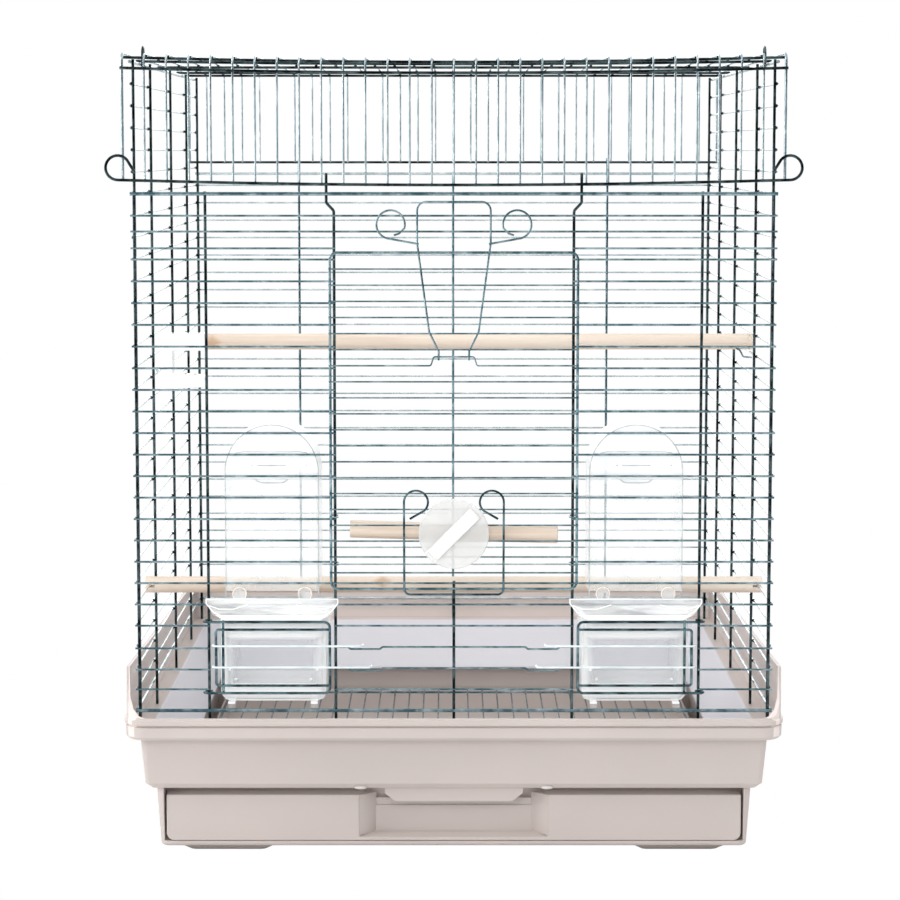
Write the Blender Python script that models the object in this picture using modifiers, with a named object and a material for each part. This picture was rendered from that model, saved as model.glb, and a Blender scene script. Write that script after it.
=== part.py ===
# Square wire bird cage on a moulded base with a droppings drawer.
# Metres, +Z up. The front faces -Y and the middle of the footprint is the origin.

import math

import bmesh
import bpy
from mathutils import Matrix, Vector

# Driving dimensions of the wire body
bodyInset = 0.0115
rowPitch = 0.0151
sideRowCount = 30
wireDetail = 1
rowRadius = 0.0009
postRadius = 0.0013
railRadius = 0.0016
weldDepth = 0.0004
fitGap = 0.0003
feederPostInset = 0.0490
doorPostX = 0.083

# Driving dimensions of the base
lipHalf = 0.2325
lipTop = 0.1002
bandHeight = 0.0146
tubInset = 0.0110
tubTaper = 0.0030
tubBottom = 0.0478
ledgeDrop = 0.0125
ledgeInset = 0.0175
guardFrontTop = 0.1362
guardBackTop = 0.1182
guardWall = 0.0025
footHeight = 0.0037

# Driving dimensions of the drawer and its housing
housingInset = 0.0070
housingTaper = 0.0025
drawerPlay = 0.0045
drawerFloor = 0.0020
trayInset = 0.0080
trayWall = 0.0020
trayWallTop = 0.0290
gridPitch = 0.0125
gridRadius = 0.0008

# Driving dimensions of the door, the lid and the feeders
doorOverlap = 0.0026
doorBottom = 0.1930
doorTop = 0.4276
doorRowPitch = 0.01114
doorRowRadius = 0.0007
doorFrameRadius = 0.0012
lidOverhang = 0.0070
lidBars = 29
lidBarRadius = 0.0009
lidFrontDrop = 0.0866
lidBackDrop = 0.0763
feederOffset = 0.0448
gateWire = 0.0012
bailWire = 0.0010
perchRadius = 0.0060

# Places that follow from the driving dimensions
halfSpan = lipHalf - bodyInset
feederPostX = halfSpan - feederPostInset
feederX = feederPostX - feederOffset
doorHalf = doorPostX + doorOverlap
lidHalf = halfSpan + lidOverhang
lidPitch = 2 * lidHalf / (lidBars + 1)
tubTopHalf = lipHalf - tubInset
tubBottomHalf = tubTopHalf - tubTaper
ledgeInnerHalf = lipHalf - ledgeInset
ledgeZ = lipTop - ledgeDrop
housingTopHalf = tubBottomHalf - housingInset
housingBottomHalf = housingTopHalf - housingTaper
drawerHalf = housingBottomHalf - drawerPlay
trayHalf = drawerHalf - trayInset
bottomRailZ = ledgeZ + 0.0178
rowOut = postRadius + rowRadius - weldDepth
railOut = rowOut + 0.0003
sideHalf = halfSpan - 2 * postRadius - fitGap
sideTopZ = bottomRailZ + sideRowCount * rowPitch
crossZ = sideTopZ + railRadius + fitGap + postRadius
lidBarZ = crossZ + postRadius + lidBarRadius + 0.0001
lidBarOut = halfSpan + postRadius + fitGap + 0.0001 + lidBarRadius
lidRailOut = lidBarOut + lidBarRadius + postRadius - weldDepth
doorFrameY = -(lidRailOut + postRadius + fitGap + doorFrameRadius)
doorRowY = doorFrameY - (doorFrameRadius + doorRowRadius - weldDepth)


def rowZ(index):
    return bottomRailZ + index * rowPitch


def clearScene():
    for item in list(bpy.data.objects):
        bpy.data.objects.remove(item)


def newCollection(name, hidden=False):
    made = bpy.data.collections.new(name)
    bpy.context.scene.collection.children.link(made)
    made.hide_render = hidden
    return made


clearScene()
parts = newCollection("bird_cage")
helpers = newCollection("helpers", hidden=True)


def material(name, colour, roughness, metallic=0.0):
    made = bpy.data.materials.get(name) or bpy.data.materials.new(name)
    made.use_nodes = True
    shader = made.node_tree.nodes["Principled BSDF"]
    shader.inputs["Base Color"].default_value = (*colour, 1.0)
    shader.inputs["Roughness"].default_value = roughness
    shader.inputs["Metallic"].default_value = metallic
    return made


def platedSteel(piece):
    return material(piece + " plated steel", (0.62, 0.66, 0.66), 0.25, 1.0)


def beigePlastic(piece):
    return material(piece + " beige plastic", (0.66, 0.59, 0.56), 0.45)


def clearPlastic(piece):
    return material(piece + " clear plastic", (0.90, 0.93, 0.93), 0.10)


def paleWood(piece):
    return material(piece + " pale wood", (0.82, 0.62, 0.43), 0.60)


def finish(item, name, look, smooth=True):
    item.name = name
    item.data.name = name
    item.data.materials.clear()
    item.data.materials.append(look)
    if smooth:
        item.data.shade_smooth()
        item.data.set_sharp_from_angle(angle=math.radians(40))
    return item


def asHelper(item):
    for owner in list(item.users_collection):
        owner.objects.unlink(item)
    helpers.objects.link(item)
    item.hide_render = True
    item.display_type = "WIRE"
    return item


def boolean(item, other, operation):
    step = item.modifiers.new(operation.lower() + " " + other.name, "BOOLEAN")
    step.operation = operation
    step.solver = "EXACT"
    step.object = asHelper(other)
    return item


def join(item, other):
    return boolean(item, other, "UNION")


def cut(item, other):
    return boolean(item, other, "DIFFERENCE")


# Wires: each path is a list of points, and one object can hold many paths that stay clear of each other.
# The tilt turns the six-sided section so that crossing wires meet ridge on ridge.
ridgeUpright = math.pi / 6
ridgeAcross = 0.0


def wires(name, paths, radius, tilt=ridgeUpright):
    curve = bpy.data.curves.new(name, "CURVE")
    curve.dimensions = "3D"
    curve.twist_mode = "MINIMUM"
    curve.bevel_depth = radius
    curve.bevel_resolution = wireDetail
    curve.use_fill_caps = True
    for path in paths:
        spline = curve.splines.new("POLY")
        spline.points.add(len(path) - 1)
        for point, place in zip(spline.points, path):
            point.co = (*place, 1.0)
            point.tilt = tilt
    guide = bpy.data.objects.new(name, curve)
    parts.objects.link(guide)
    bpy.context.view_layer.update()
    graph = bpy.context.evaluated_depsgraph_get()
    mesh = bpy.data.meshes.new_from_object(guide.evaluated_get(graph))
    bpy.data.objects.remove(guide)
    work = bmesh.new()
    work.from_mesh(mesh)
    bmesh.ops.remove_doubles(work, verts=work.verts, dist=1e-6)
    bmesh.ops.recalc_face_normals(work, faces=work.faces)
    work.to_mesh(mesh)
    work.free()
    item = bpy.data.objects.new(name, mesh)
    parts.objects.link(item)
    return item


def rounded(points, radius, steps=2):
    """The path through points with each inner corner turned into an arc."""
    path = [Vector(points[0])]
    for before, corner, after in zip(points, points[1:], points[2:]):
        here = Vector(corner)
        back = (Vector(before) - here).normalized()
        ahead = (Vector(after) - here).normalized()
        bend = back.angle(ahead)
        reach = radius / math.tan(bend / 2)
        centre = here + (back + ahead).normalized() * (radius / math.sin(bend / 2))
        first = here + back * reach - centre
        last = here + ahead * reach - centre
        for step in range(steps + 1):
            path.append(centre + first.slerp(last, step / steps).normalized() * radius)
    path.append(Vector(points[-1]))
    return path


def arc(centre, radius, start, end, steps, plane):
    """Points on a circle, with angles in degrees in the plane of two axes, such as (0, 2) for X and Z."""
    path = []
    for step in range(steps + 1):
        angle = math.radians(start + (end - start) * step / steps)
        point = Vector(centre)
        point[plane[0]] += radius * math.cos(angle)
        point[plane[1]] += radius * math.sin(angle)
        path.append(point)
    return path


# Solids
def meshObject(name, work):
    bmesh.ops.recalc_face_normals(work, faces=work.faces)
    if work.calc_volume(signed=True) < 0:
        bmesh.ops.reverse_faces(work, faces=work.faces)
    mesh = bpy.data.meshes.new(name)
    work.to_mesh(mesh)
    work.free()
    item = bpy.data.objects.new(name, mesh)
    parts.objects.link(item)
    return item


def box(name, low, high):
    work = bmesh.new()
    bmesh.ops.create_cube(work, size=1)
    low = Vector(low)
    size = Vector(high) - low
    for vert in work.verts:
        vert.co = Vector((c + 0.5) * s + l for c, s, l in zip(vert.co, size, low))
    return meshObject(name, work)


def rod(name, start, end, radius, sides=12):
    work = bmesh.new()
    start = Vector(start)
    run = Vector(end) - start
    bmesh.ops.create_cone(work, cap_ends=True, segments=sides, radius1=radius, radius2=radius, depth=run.length)
    turn = run.to_track_quat("Z", "Y").to_matrix().to_4x4()
    turn.translation = start + run / 2
    work.transform(turn)
    return meshObject(name, work)


def plate(name, outline, y0, y1):
    """A flat outline of (x, z) points, standing upright, from y0 to y1."""
    work = bmesh.new()
    face = work.faces.new([work.verts.new((x, y0, z)) for x, z in outline])
    made = bmesh.ops.extrude_face_region(work, geom=[face])["geom"]
    for vert in (g for g in made if isinstance(g, bmesh.types.BMVert)):
        vert.co.y = y1
    return meshObject(name, work)


def roundLoop(halfX, halfY, radius, height, centre=(0.0, 0.0), steps=4):
    """A rounded rectangle, whose height is a number or a function of x and y."""
    loop = []
    for quarter in range(4):
        sx = (1, -1, -1, 1)[quarter]
        sy = (1, 1, -1, -1)[quarter]
        for step in range(steps + 1):
            angle = math.pi / 2 * (quarter + step / steps)
            x = centre[0] + sx * (halfX - radius) + radius * math.cos(angle)
            y = centre[1] + sy * (halfY - radius) + radius * math.sin(angle)
            loop.append((x, y, height(x, y) if callable(height) else height))
    return loop


def loft(name, loops, closed=False):
    """Skin through loops of equally many points: capped at both ends, or closed back on the first loop."""
    work = bmesh.new()
    rings = [[work.verts.new(point) for point in loop] for loop in loops]
    pairs = list(zip(rings, rings[1:]))
    if closed:
        pairs.append((rings[-1], rings[0]))
    for lower, upper in pairs:
        for index in range(len(lower)):
            after = (index + 1) % len(lower)
            work.faces.new((lower[index], lower[after], upper[after], upper[index]))
    if not closed:
        work.faces.new(rings[0])
        work.faces.new(rings[-1])
    return meshObject(name, work)


def bevel(item, width, segments=2, angle=35):
    step = item.modifiers.new("rounded edges", "BEVEL")
    step.width = width
    step.segments = segments
    step.limit_method = "ANGLE"
    step.angle_limit = math.radians(angle)
    return item


# Wire panels: local X runs along the panel, local -Y points out of the cage.
# Every row is welded to the end posts. The middle posts stand a hair behind the rows, on the heavier rails.
middleBehind = weldDepth + 0.0001


def weldedPanel(name, rows, posts, rails, place, turn, extra=None):
    """A grid of rows, posts and rails, with an extra wire welded to a post where one is given."""
    grid = wires(name + "_rows", rows, rowRadius, ridgeAcross)
    uprights = wires(name + "_posts", posts, postRadius)
    heavy = wires(name + "_rails", rails, railRadius, ridgeAcross)
    members = [grid, uprights, heavy]
    if extra:
        join(uprights, extra)
        members.append(extra)
    join(grid, uprights)
    join(grid, heavy)
    for item in members:
        item.location = place
        item.rotation_euler.z = math.radians(turn)
    return finish(grid, name, platedSteel(name))


def upright(x, top, behind=0.0):
    return [(x, behind, ledgeZ + fitGap), (x, behind, top)]


def row(x0, x1, z):
    return [(x0, -rowOut, z), (x1, -rowOut, z)]


def rail(x0, x1, z):
    return [(x0, -railOut, z), (x1, -railOut, z)]


frontTopIndex = 24
sillIndex = 6
doubleRows = (rowZ(frontTopIndex) - 0.0376, rowZ(frontTopIndex) - 0.0260)
guideTop = rowZ(frontTopIndex) + 0.0143
guideJog = 0.0052
frontEnd = halfSpan + postRadius + 0.0012
rowEnd = 0.0006
notchDrop = 0.0015
shortRowDrop = 0.0010
bailRise = 0.0012
bailReach = {3: doorPostX - 0.0190, 2: doorPostX - 0.0250}


def notchedRow(z):
    """A centre row with a dip on each side, where a feeder latch hooks over it."""
    half = [(-doorPostX - rowEnd, z), (-0.0745, z), (-0.0725, z - notchDrop)]
    half += [(-0.0520, z - notchDrop), (-0.0500, z)]
    points = half + [(-x, height) for x, height in reversed(half)]
    return [(x, -rowOut, height) for x, height in points]


def makeFrontPanel():
    top = rowZ(frontTopIndex)
    rows = [row(-frontEnd, frontEnd, z) for z in (rowZ(5), rowZ(sillIndex), doubleRows[1], rowZ(23))]
    for side in (-1, 1):
        for z in [rowZ(index) for index in range(sillIndex + 1, 22)] + [doubleRows[0]]:
            rows.append(row(side * frontEnd, side * (doorPostX - rowEnd), z))
        for index in range(1, 5):
            z = rowZ(index) - (shortRowDrop if index in bailReach else 0)
            rows.append(row(side * frontEnd, side * (feederPostX - rowEnd), z))
    rows += [notchedRow(rowZ(2)), notchedRow(rowZ(3))]
    rows += [row(-doorPostX - rowEnd, doorPostX + rowEnd, rowZ(index)) for index in (1, 4)]
    posts = [upright(side * halfSpan, top + railRadius) for side in (-1, 1)]
    posts += [upright(side * feederPostX, top + railRadius, middleBehind) for side in (-1, 1)]
    posts.append(upright(0, rowZ(sillIndex) + postRadius))
    for side in (-1, 1):
        x = side * doorPostX
        jog = side * (doorPostX + guideJog)
        posts.append([(x, 0, ledgeZ + fitGap), (x, 0, guideTop - 0.0260), (jog, 0, guideTop - 0.0205), (jog, 0, guideTop)])
    rails = [rail(-frontEnd, frontEnd, bottomRailZ), rail(-frontEnd, frontEnd, top)]
    keeper = wires("latch_keeper", [keeperPath()], keeperWire, ridgeAcross)
    return weldedPanel("front_panel", rows, posts, rails, (0, -halfSpan, 0), 0, keeper)


sidePosts = (-0.123, 0.008, 0.124)
topLoopY = -0.1600
topLoopHalf = 0.0050
topLoopTop = sideTopZ + 0.0127


def makeSidePanel(name, side):
    middles = [side * y for y in sidePosts]
    rows = [row(-sideHalf - rowRadius, sideHalf + rowRadius, rowZ(index)) for index in range(1, sideRowCount)]
    posts = [upright(x, sideTopZ + railRadius) for x in (-sideHalf, sideHalf)]
    posts += [upright(x, sideTopZ + railRadius, middleBehind) for x in middles]
    rails = [rail(-sideHalf - rowRadius, sideHalf + rowRadius, z) for z in (bottomRailZ, sideTopZ)]
    panel = weldedPanel(name, rows, posts, rails, (side * halfSpan, 0, 0), 90 * side)
    x = side * topLoopY
    loop = [(x - topLoopHalf, 0, sideTopZ - railRadius - 0.0020)]
    loop += arc((x, 0, topLoopTop - topLoopHalf), topLoopHalf, 180, 0, 4, (0, 2))
    loop.append((x + topLoopHalf, 0, sideTopZ - railRadius - 0.0020))
    stop = wires(name + "_top_loop", [loop], rowRadius)
    stop.location = panel.location
    stop.rotation_euler = panel.rotation_euler
    return join(panel, stop)


backTopZ = 0.4779
prongX = 0.1335
hingeZ = lidBarZ - lidBackDrop


def makeBackPanel():
    rows = [row(-frontEnd, frontEnd, rowZ(index)) for index in range(1, 25)]
    posts = [upright(x, backTopZ + railRadius) for x in (-halfSpan, halfSpan)]
    posts.append(upright(0, backTopZ + railRadius, middleBehind))
    hookRadius = postRadius + fitGap + postRadius
    centreY = -(lidRailOut - halfSpan)
    for side in (-1, 1):
        x = side * prongX
        hook = arc((x, centreY, hingeZ), hookRadius, 0, 150, 5, (1, 2))
        posts.append(upright(x, backTopZ + 0.002, middleBehind) + hook)
    rails = [rail(-frontEnd, frontEnd, z) for z in (bottomRailZ, backTopZ)]
    return weldedPanel("back_panel", rows, posts, rails, (0, halfSpan, 0), 180)


# Roof lid: bars bent over the top, with a front and a back skirt, and finger curls on the front rail
curlRadius = 0.0088
lidCrossInset = 0.0090
lidCrossMiddle = 0.1350
lidCrossEnd = halfSpan - lidCrossInset
lidCrossPlaces = (-lidCrossEnd, -lidCrossMiddle, 0.0, lidCrossMiddle, lidCrossEnd)


def mirrored(path, side=-1):
    return [Vector((side * point[0], point[1], point[2])) for point in path]


def bothWays(half):
    """A path from its left end to its right end, from the right half that starts at the middle."""
    return mirrored(half)[::-1] + [Vector(point) for point in half]


def lidBar(x, frontZ):
    corners = [(x, -lidBarOut, frontZ), (x, -lidBarOut, lidBarZ), (x, lidBarOut, lidBarZ), (x, lidBarOut, hingeZ)]
    return rounded(corners, 0.005, 1)


def makeLid():
    frontZ = lidBarZ - lidFrontDrop
    half = lidBars // 2
    lid = wires("roof_lid", [lidBar(index * lidPitch, frontZ) for index in range(-half, half + 1)], lidBarRadius)
    join(lid, wires("roof_lid_end_bars", [lidBar(x, frontZ) for x in (-lidHalf, lidHalf)], postRadius))
    curlZ = frontZ + curlRadius
    curl = arc((lidHalf + 0.0033, -lidRailOut, curlZ), curlRadius, -90, 140, 9, (0, 2))
    tail = Vector((lidHalf - 0.0085, -lidRailOut, frontZ + 0.0052))
    ends = lidHalf + 0.0012
    skirtRails = [bothWays(curl + [tail])]
    skirtRails.append([(-ends, lidRailOut, hingeZ), (ends, lidRailOut, hingeZ)])
    skirtRails.append([(-ends, -lidRailOut, lidBarZ - 0.010), (ends, -lidRailOut, lidBarZ - 0.010)])
    crossRails = [[(-ends, y, crossZ), (ends, y, crossZ)] for y in lidCrossPlaces]
    join(lid, wires("roof_lid_skirt_rails", skirtRails, postRadius, ridgeAcross))
    join(lid, wires("roof_lid_cross_rails", crossRails, postRadius))
    return finish(lid, "roof_lid", platedSteel("roof_lid"))


handleHalf = 0.0684
handleWire = 0.0013
handleReach = 0.0620


def makeHandle():
    ring = postRadius + fitGap + handleWire
    lift = lidBarZ + lidBarRadius + fitGap + handleWire
    hook = arc((handleHalf, 0, crossZ), ring, 300, 60, 7, (1, 2))
    corners = [(handleHalf, 0.0048, lift), (handleHalf, handleReach, lift), (0, handleReach, lift)]
    half = hook + [Vector(corners[0])] + rounded(corners, 0.010, 4)[1:-1]
    handle = wires("carry_handle", [bothWays(half[::-1])], handleWire)
    return finish(handle, "carry_handle", platedSteel("carry_handle"))


# Front door, which lifts, with its two spring hooks, lock disc and small perch
doorRowCount = 20
discRow = 16
omegaRow = 6
omegaHalf = 0.0140
omegaRise = 0.0062


def doorRow(index):
    return doorTop - 0.0113 - index * doorRowPitch


discZ = (doorRow(discRow) + doorRow(discRow + 1)) / 2
omegaZ = doorRow(omegaRow) + omegaRise


def makeDoor():
    corners = [(0, doorFrameY, doorTop), (doorHalf, doorFrameY, doorTop)]
    corners += [(doorHalf, doorFrameY, doorBottom), (0.0030, doorFrameY, doorBottom)]
    frame = wires("door_frame", [bothWays(rounded(corners, 0.005)[1:])], doorFrameRadius)
    bottom = wires("door_bottom_bar", [[(-0.006, doorFrameY, doorBottom), (0.006, doorFrameY, doorBottom)]],
                   doorFrameRadius, ridgeAcross)
    end = doorHalf + 0.0010
    rows = []
    for index in range(doorRowCount):
        z = doorRow(index)
        half = [(end, doorRowY, z)]
        if index == omegaRow:
            half = [(omegaHalf, doorRowY, omegaZ), (omegaHalf + 0.002, doorRowY, z), (end, doorRowY, z)]
        rows.append(bothWays(half))
    door = wires("front_door", rows, doorRowRadius, ridgeAcross)
    join(frame, bottom)
    join(door, frame)
    hooks = []
    back = -halfSpan + postRadius + fitGap + doorRowRadius
    inside = doorPostX - postRadius - fitGap - doorRowRadius
    for z in (doorRow(18) - doorRowPitch / 2, doorRow(15) - doorRowPitch / 2):
        path = [(doorHalf + 0.0010, doorRowY, z), (inside, doorRowY, z)]
        path += [(inside, back, z), (doorPostX + 0.0030, back, z)]
        for side in (-1, 1):
            hooks.append(mirrored(rounded(path, 0.0015), side))
    join(door, wires("door_slide_hooks", hooks, doorRowRadius, ridgeAcross))
    return finish(door, "front_door", platedSteel("front_door"))


clipWire = 0.0009
clipY = doorRowY - doorRowRadius - fitGap - clipWire
clipTop = doorTop + 0.0349
clipSpread = 0.0253
clipLoopX = clipSpread + 0.0182
clipLoopZ = clipTop - 0.0155
clipLoopRadius = 0.0098


def makeDoorHook():
    x = omegaHalf - 0.0035
    foot = arc((x, doorRowY, omegaZ), doorRowY - clipY, 20, -180, 6, (1, 2))
    leg = [(x, clipY, omegaZ + 0.004), (x + 0.0030, clipY, omegaZ + 0.0180), (clipSpread, clipY, clipTop - 0.0283)]
    leg += [(clipSpread, clipY, clipTop), (0, clipY, clipTop)]
    half = foot + [Vector(point) for point in leg[:3]] + rounded(leg[2:], 0.006, 3)[1:-1]
    hook = wires("door_hook", [bothWays(half[::-1])], clipWire)
    turn = arc((clipLoopX, clipY, clipLoopZ), clipLoopRadius, 265, -10, 9, (0, 2))
    loop = [Vector((clipSpread - 0.0012, clipY, clipLoopZ - 0.0108))] + turn
    loop += [Vector((clipLoopX - dx, clipY, clipLoopZ - dz)) for dx, dz in ((0.0035, 0.0058), (0.0065, 0.0073))]
    join(hook, wires("door_hook_loops", [mirrored(loop), mirrored(loop, 1)], clipWire, ridgeAcross))
    return finish(hook, "door_hook", platedSteel("door_hook"))


latchWire = 0.0011
latchHalf = 0.0345
latchCurl = 0.0085
latchRise = 0.0668
latchLean = 8
latchPivotY = doorRowY - doorRowRadius - fitGap - latchWire
latchPivotZ = doorBottom - doorFrameRadius - fitGap - latchWire - 0.0007


def makeLatch():
    curl = arc((latchHalf - latchCurl, 0, latchRise), latchCurl, 240, 0, 9, (0, 2))
    half = [Vector((latchHalf - 0.0040, 0, latchRise - 0.0120))] + curl[1:]
    half += rounded([(latchHalf, 0, latchRise), (latchHalf, 0, 0), (0, 0, 0)], 0.004, 3)[1:-1]
    latch = wires("door_latch", [bothWays(half[::-1])], latchWire)
    latch.location = (0, latchPivotY, latchPivotZ)
    latch.rotation_euler.x = math.radians(latchLean)
    return finish(latch, "door_latch", platedSteel("door_latch"))


# The keeper is welded to the front panel's middle post and carries the latch's bottom bar
keeperWire = 0.0008
keeperRoot = 0.0003


def keeperPath():
    ring = latchWire + fitGap + keeperWire
    pivot = (0, latchPivotY + halfSpan, latchPivotZ)
    low = latchPivotZ - ring
    return [Vector((0, keeperRoot, low))] + arc(pivot, ring, -90, -250, 6, (1, 2))


discRadius = 0.0246
discThick = 0.0030
ribHeight = 0.0045
ribHalfWidth = 0.0050
boltRadius = 0.0030
discBack = doorRowY - doorRowRadius - fitGap
smallPerchHalf = 0.0725
smallPerchRadius = 0.0062
smallPerchY = doorRowY + doorRowRadius + fitGap + smallPerchRadius


def makeLockDisc():
    disc = rod("lock_disc", (0, discBack, discZ), (0, discBack - discThick, discZ), discRadius, 36)
    bevel(disc, 0.0008, 1)
    rib = box("lock_disc_rib", (-0.0215, -ribHeight, -ribHalfWidth), (0.0215, 0.0, ribHalfWidth))
    bevel(rib, 0.0015, 2)
    rib.location = (0, discBack - discThick + 0.0010, discZ)
    rib.rotation_euler.y = math.radians(-45)
    join(disc, rib)
    return finish(disc, "lock_disc", clearPlastic("lock_disc"))


def makeSmallPerch():
    perch = rod("small_perch", (-smallPerchHalf, smallPerchY, discZ), (smallPerchHalf, smallPerchY, discZ),
                smallPerchRadius, 14)
    bore = rod("small_perch_bore", (0, smallPerchY - 0.010, discZ), (0, smallPerchY + 0.010, discZ),
               boltRadius + fitGap)
    cut(perch, bore)
    return finish(perch, "small_perch", paleWood("small_perch"))


def makePerchBolt():
    head = smallPerchY + smallPerchRadius + fitGap
    bolt = rod("perch_bolt", (0, discBack + fitGap, discZ), (0, head + 0.0010, discZ), boltRadius)
    join(bolt, rod("perch_bolt_head", (0, head, discZ), (0, head + 0.0025, discZ), 0.0055))
    return finish(bolt, "perch_bolt", clearPlastic("perch_bolt"))


# Long perches: one has slotted ends on a side row, the other passes between two side rows
lowerPerchInset = 0.080
upperPerchInset = 0.150
lowerPerchY = -halfSpan + lowerPerchInset
upperPerchY = -halfSpan + upperPerchInset
slotOverrun = 0.0040
perchTip = halfSpan + rowOut + rowRadius + 0.0020
lowerPerchZ = rowZ(5)
upperPerchZ = rowZ(16) + rowRadius + fitGap + perchRadius
holderReach = 0.0340
holderDrop = 0.0360


def makeLowerPerch():
    perch = rod("lower_perch", (-perchTip, lowerPerchY, lowerPerchZ), (perchTip, lowerPerchY, lowerPerchZ),
                perchRadius, 14)
    slot = rowRadius + fitGap
    deep = perchRadius + slotOverrun
    inner = halfSpan - postRadius - 0.0010
    for side in (-1, 1):
        ends = sorted((side * inner, side * (perchTip + 0.002)))
        cut(perch, box("lower_perch_slot", (ends[0], lowerPerchY - deep, lowerPerchZ - slot),
                       (ends[1], lowerPerchY + deep, lowerPerchZ + slot)))
    return finish(perch, "lower_perch", paleWood("lower_perch"))


def makeUpperPerch():
    left = -halfSpan + holderReach + fitGap
    perch = rod("upper_perch", (left, upperPerchY, upperPerchZ), (perchTip, upperPerchY, upperPerchZ),
                perchRadius, 14)
    return finish(perch, "upper_perch", paleWood("upper_perch"))


def makePerchHolder():
    inner = -halfSpan + postRadius + fitGap
    tip = -halfSpan + holderReach
    half = 0.0065
    low = upperPerchZ - holderDrop
    outline = [(inner, low), (tip, low + 0.0020), (tip, low + 0.0105), (inner + 0.0080, low + 0.0120)]
    outline += [(inner + 0.0080, upperPerchZ - half), (tip, upperPerchZ - half)]
    outline += [(tip, upperPerchZ + half), (inner, upperPerchZ + half)]
    holder = plate("perch_holder", outline, upperPerchY - 0.0070, upperPerchY + 0.0070)
    rest = rowZ(15) + rowRadius + fitGap
    outside = -halfSpan - rowOut - rowRadius - fitGap
    tongue = [(inner + 0.001, rest), (inner + 0.001, rest + 0.003), (outside - 0.0018, rest + 0.003)]
    tongue += [(outside - 0.0018, rest - 0.0050), (outside, rest - 0.0050), (outside, rest)]
    join(holder, plate("perch_holder_tongue", tongue, upperPerchY - 0.0040, upperPerchY + 0.0040))
    return finish(holder, "perch_holder", clearPlastic("perch_holder"))


# Feeder stations: drawn on the right and mirrored for the left
gateTop = 0.1687
gateBottom = 0.1181
gateLegX = doorPostX + 0.0040
gateInnerX = feederPostX - 0.0100
gateRodX = feederPostX - 0.0052
gateY = -(halfSpan + postRadius + fitGap + 0.0002 + gateWire)
gateHingeY = -halfSpan + middleBehind
armInset = 0.0054


def makeGate(name, side):
    ring = gateHingeY - gateY
    hooks = [arc((feederPostX, gateHingeY, z), ring, 120, -90, 7, (0, 1)) for z in (gateTop, gateBottom)]
    corners = [hooks[0][-1], (gateLegX, gateY, gateTop), (gateLegX, gateY, gateBottom), hooks[1][-1]]
    path = hooks[0] + rounded(corners, 0.004, 3)[1:-1] + hooks[1][::-1]
    gate = wires(name, [mirrored(path, side)], gateWire)
    end = gateLegX + 0.0002
    arms = [(end, gateY, gateTop - armInset), (gateRodX, gateY, gateTop - armInset)]
    arms += [(gateRodX, gateY, gateBottom + armInset), (end, gateY, gateBottom + armInset)]
    join(gate, wires(name + "_rod", [mirrored(rounded(arms, 0.0020, 2), side)], gateWire))
    legY = gateY + 2 * gateWire - weldDepth
    leg = [(gateInnerX, legY, gateBottom - 0.0008), (gateInnerX, legY, gateTop + 0.0008)]
    join(gate, wires(name + "_leg", [mirrored(leg, side)], gateWire))
    return finish(gate, name, platedSteel(name))


def makeBail(name, side):
    ring = gateWire + fitGap + bailWire
    barY = gateY - ring
    tip = -halfSpan + 0.0005
    halves = []
    for index in (3, 2):
        z = rowZ(index) + bailRise
        reach = bailReach[index]
        bar = rounded([(reach, tip, z), (reach, barY, z), (gateRodX, barY, z)], 0.002, 2)[:-1]
        halves.append(bar + arc((gateRodX, gateY, z), ring, -90, 120, 7, (0, 1)))
    bail = wires(name, [mirrored(halves[0] + halves[1][::-1], side)], bailWire)
    return finish(bail, name, platedSteel(name))


cupHalf = 0.0385
cupTop = 0.1737
cupBottom = 0.1107
cupFront = 0.0055 - halfSpan
cupDepth = 0.058
cupWall = 0.0018
cupCorner = 0.009
lipFlare = 0.0466


def makeCup(name, side):
    middle = (side * feederX, cupFront + cupDepth / 2)
    halfDepth = cupDepth / 2
    levels = [(0.0030, cupBottom), (0.0012, cupBottom + 0.004), (0, cupTop)]
    levels += [(cupWall, cupTop), (0.0012 + cupWall, cupBottom + 0.005), (0.0030 + cupWall, cupBottom + cupWall)]
    loops = []
    for inset, z in levels:
        loops.append(roundLoop(cupHalf - inset, halfDepth - inset, cupCorner - inset, z, middle, 3))
    cup = loft(name, loops)
    x = middle[0]
    front = -(halfSpan + rowOut + rowRadius + fitGap)
    web = box(name + "_web", (x - 0.030, front - 0.0012, cupTop - 0.0030), (x + 0.030, cupFront + 0.0010, cupTop))
    join(cup, web)
    low = gateTop + gateWire + fitGap
    top = cupTop + 0.0120
    outline = [(-0.033, low), (0.033, low), (0.041, low + 0.004), (lipFlare, top - 0.003), (lipFlare, top)]
    outline += [(-lipFlare, top), (-lipFlare, top - 0.003), (-0.041, low + 0.004)]
    lip = plate(name + "_lip", [(x + dx, z) for dx, z in outline], front, front - 0.0020)
    join(cup, lip)
    for offset in (-0.029, 0.029):
        lug = box(name + "_lug", (x + offset - 0.0025, -halfSpan - 0.0025, bottomRailZ + railRadius + fitGap),
                  (x + offset + 0.0025, cupFront + 0.0060, cupBottom + 0.0010))
        join(cup, lug)
    return finish(cup, name, clearPlastic(name))


hoodHalf = 0.0328
hoodTop = 0.3078
hoodBottom = 0.1902
hoodDepth = 0.048
hoodWall = 0.0018
bossRadius = 0.0052


def archOutline(x, half, top, bottom, steps=8):
    crown = arc((x, 0, top - half), half, 0, 180, steps, (0, 2))
    return [(x - half, bottom), (x + half, bottom)] + [(point.x, point.z) for point in crown]


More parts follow.
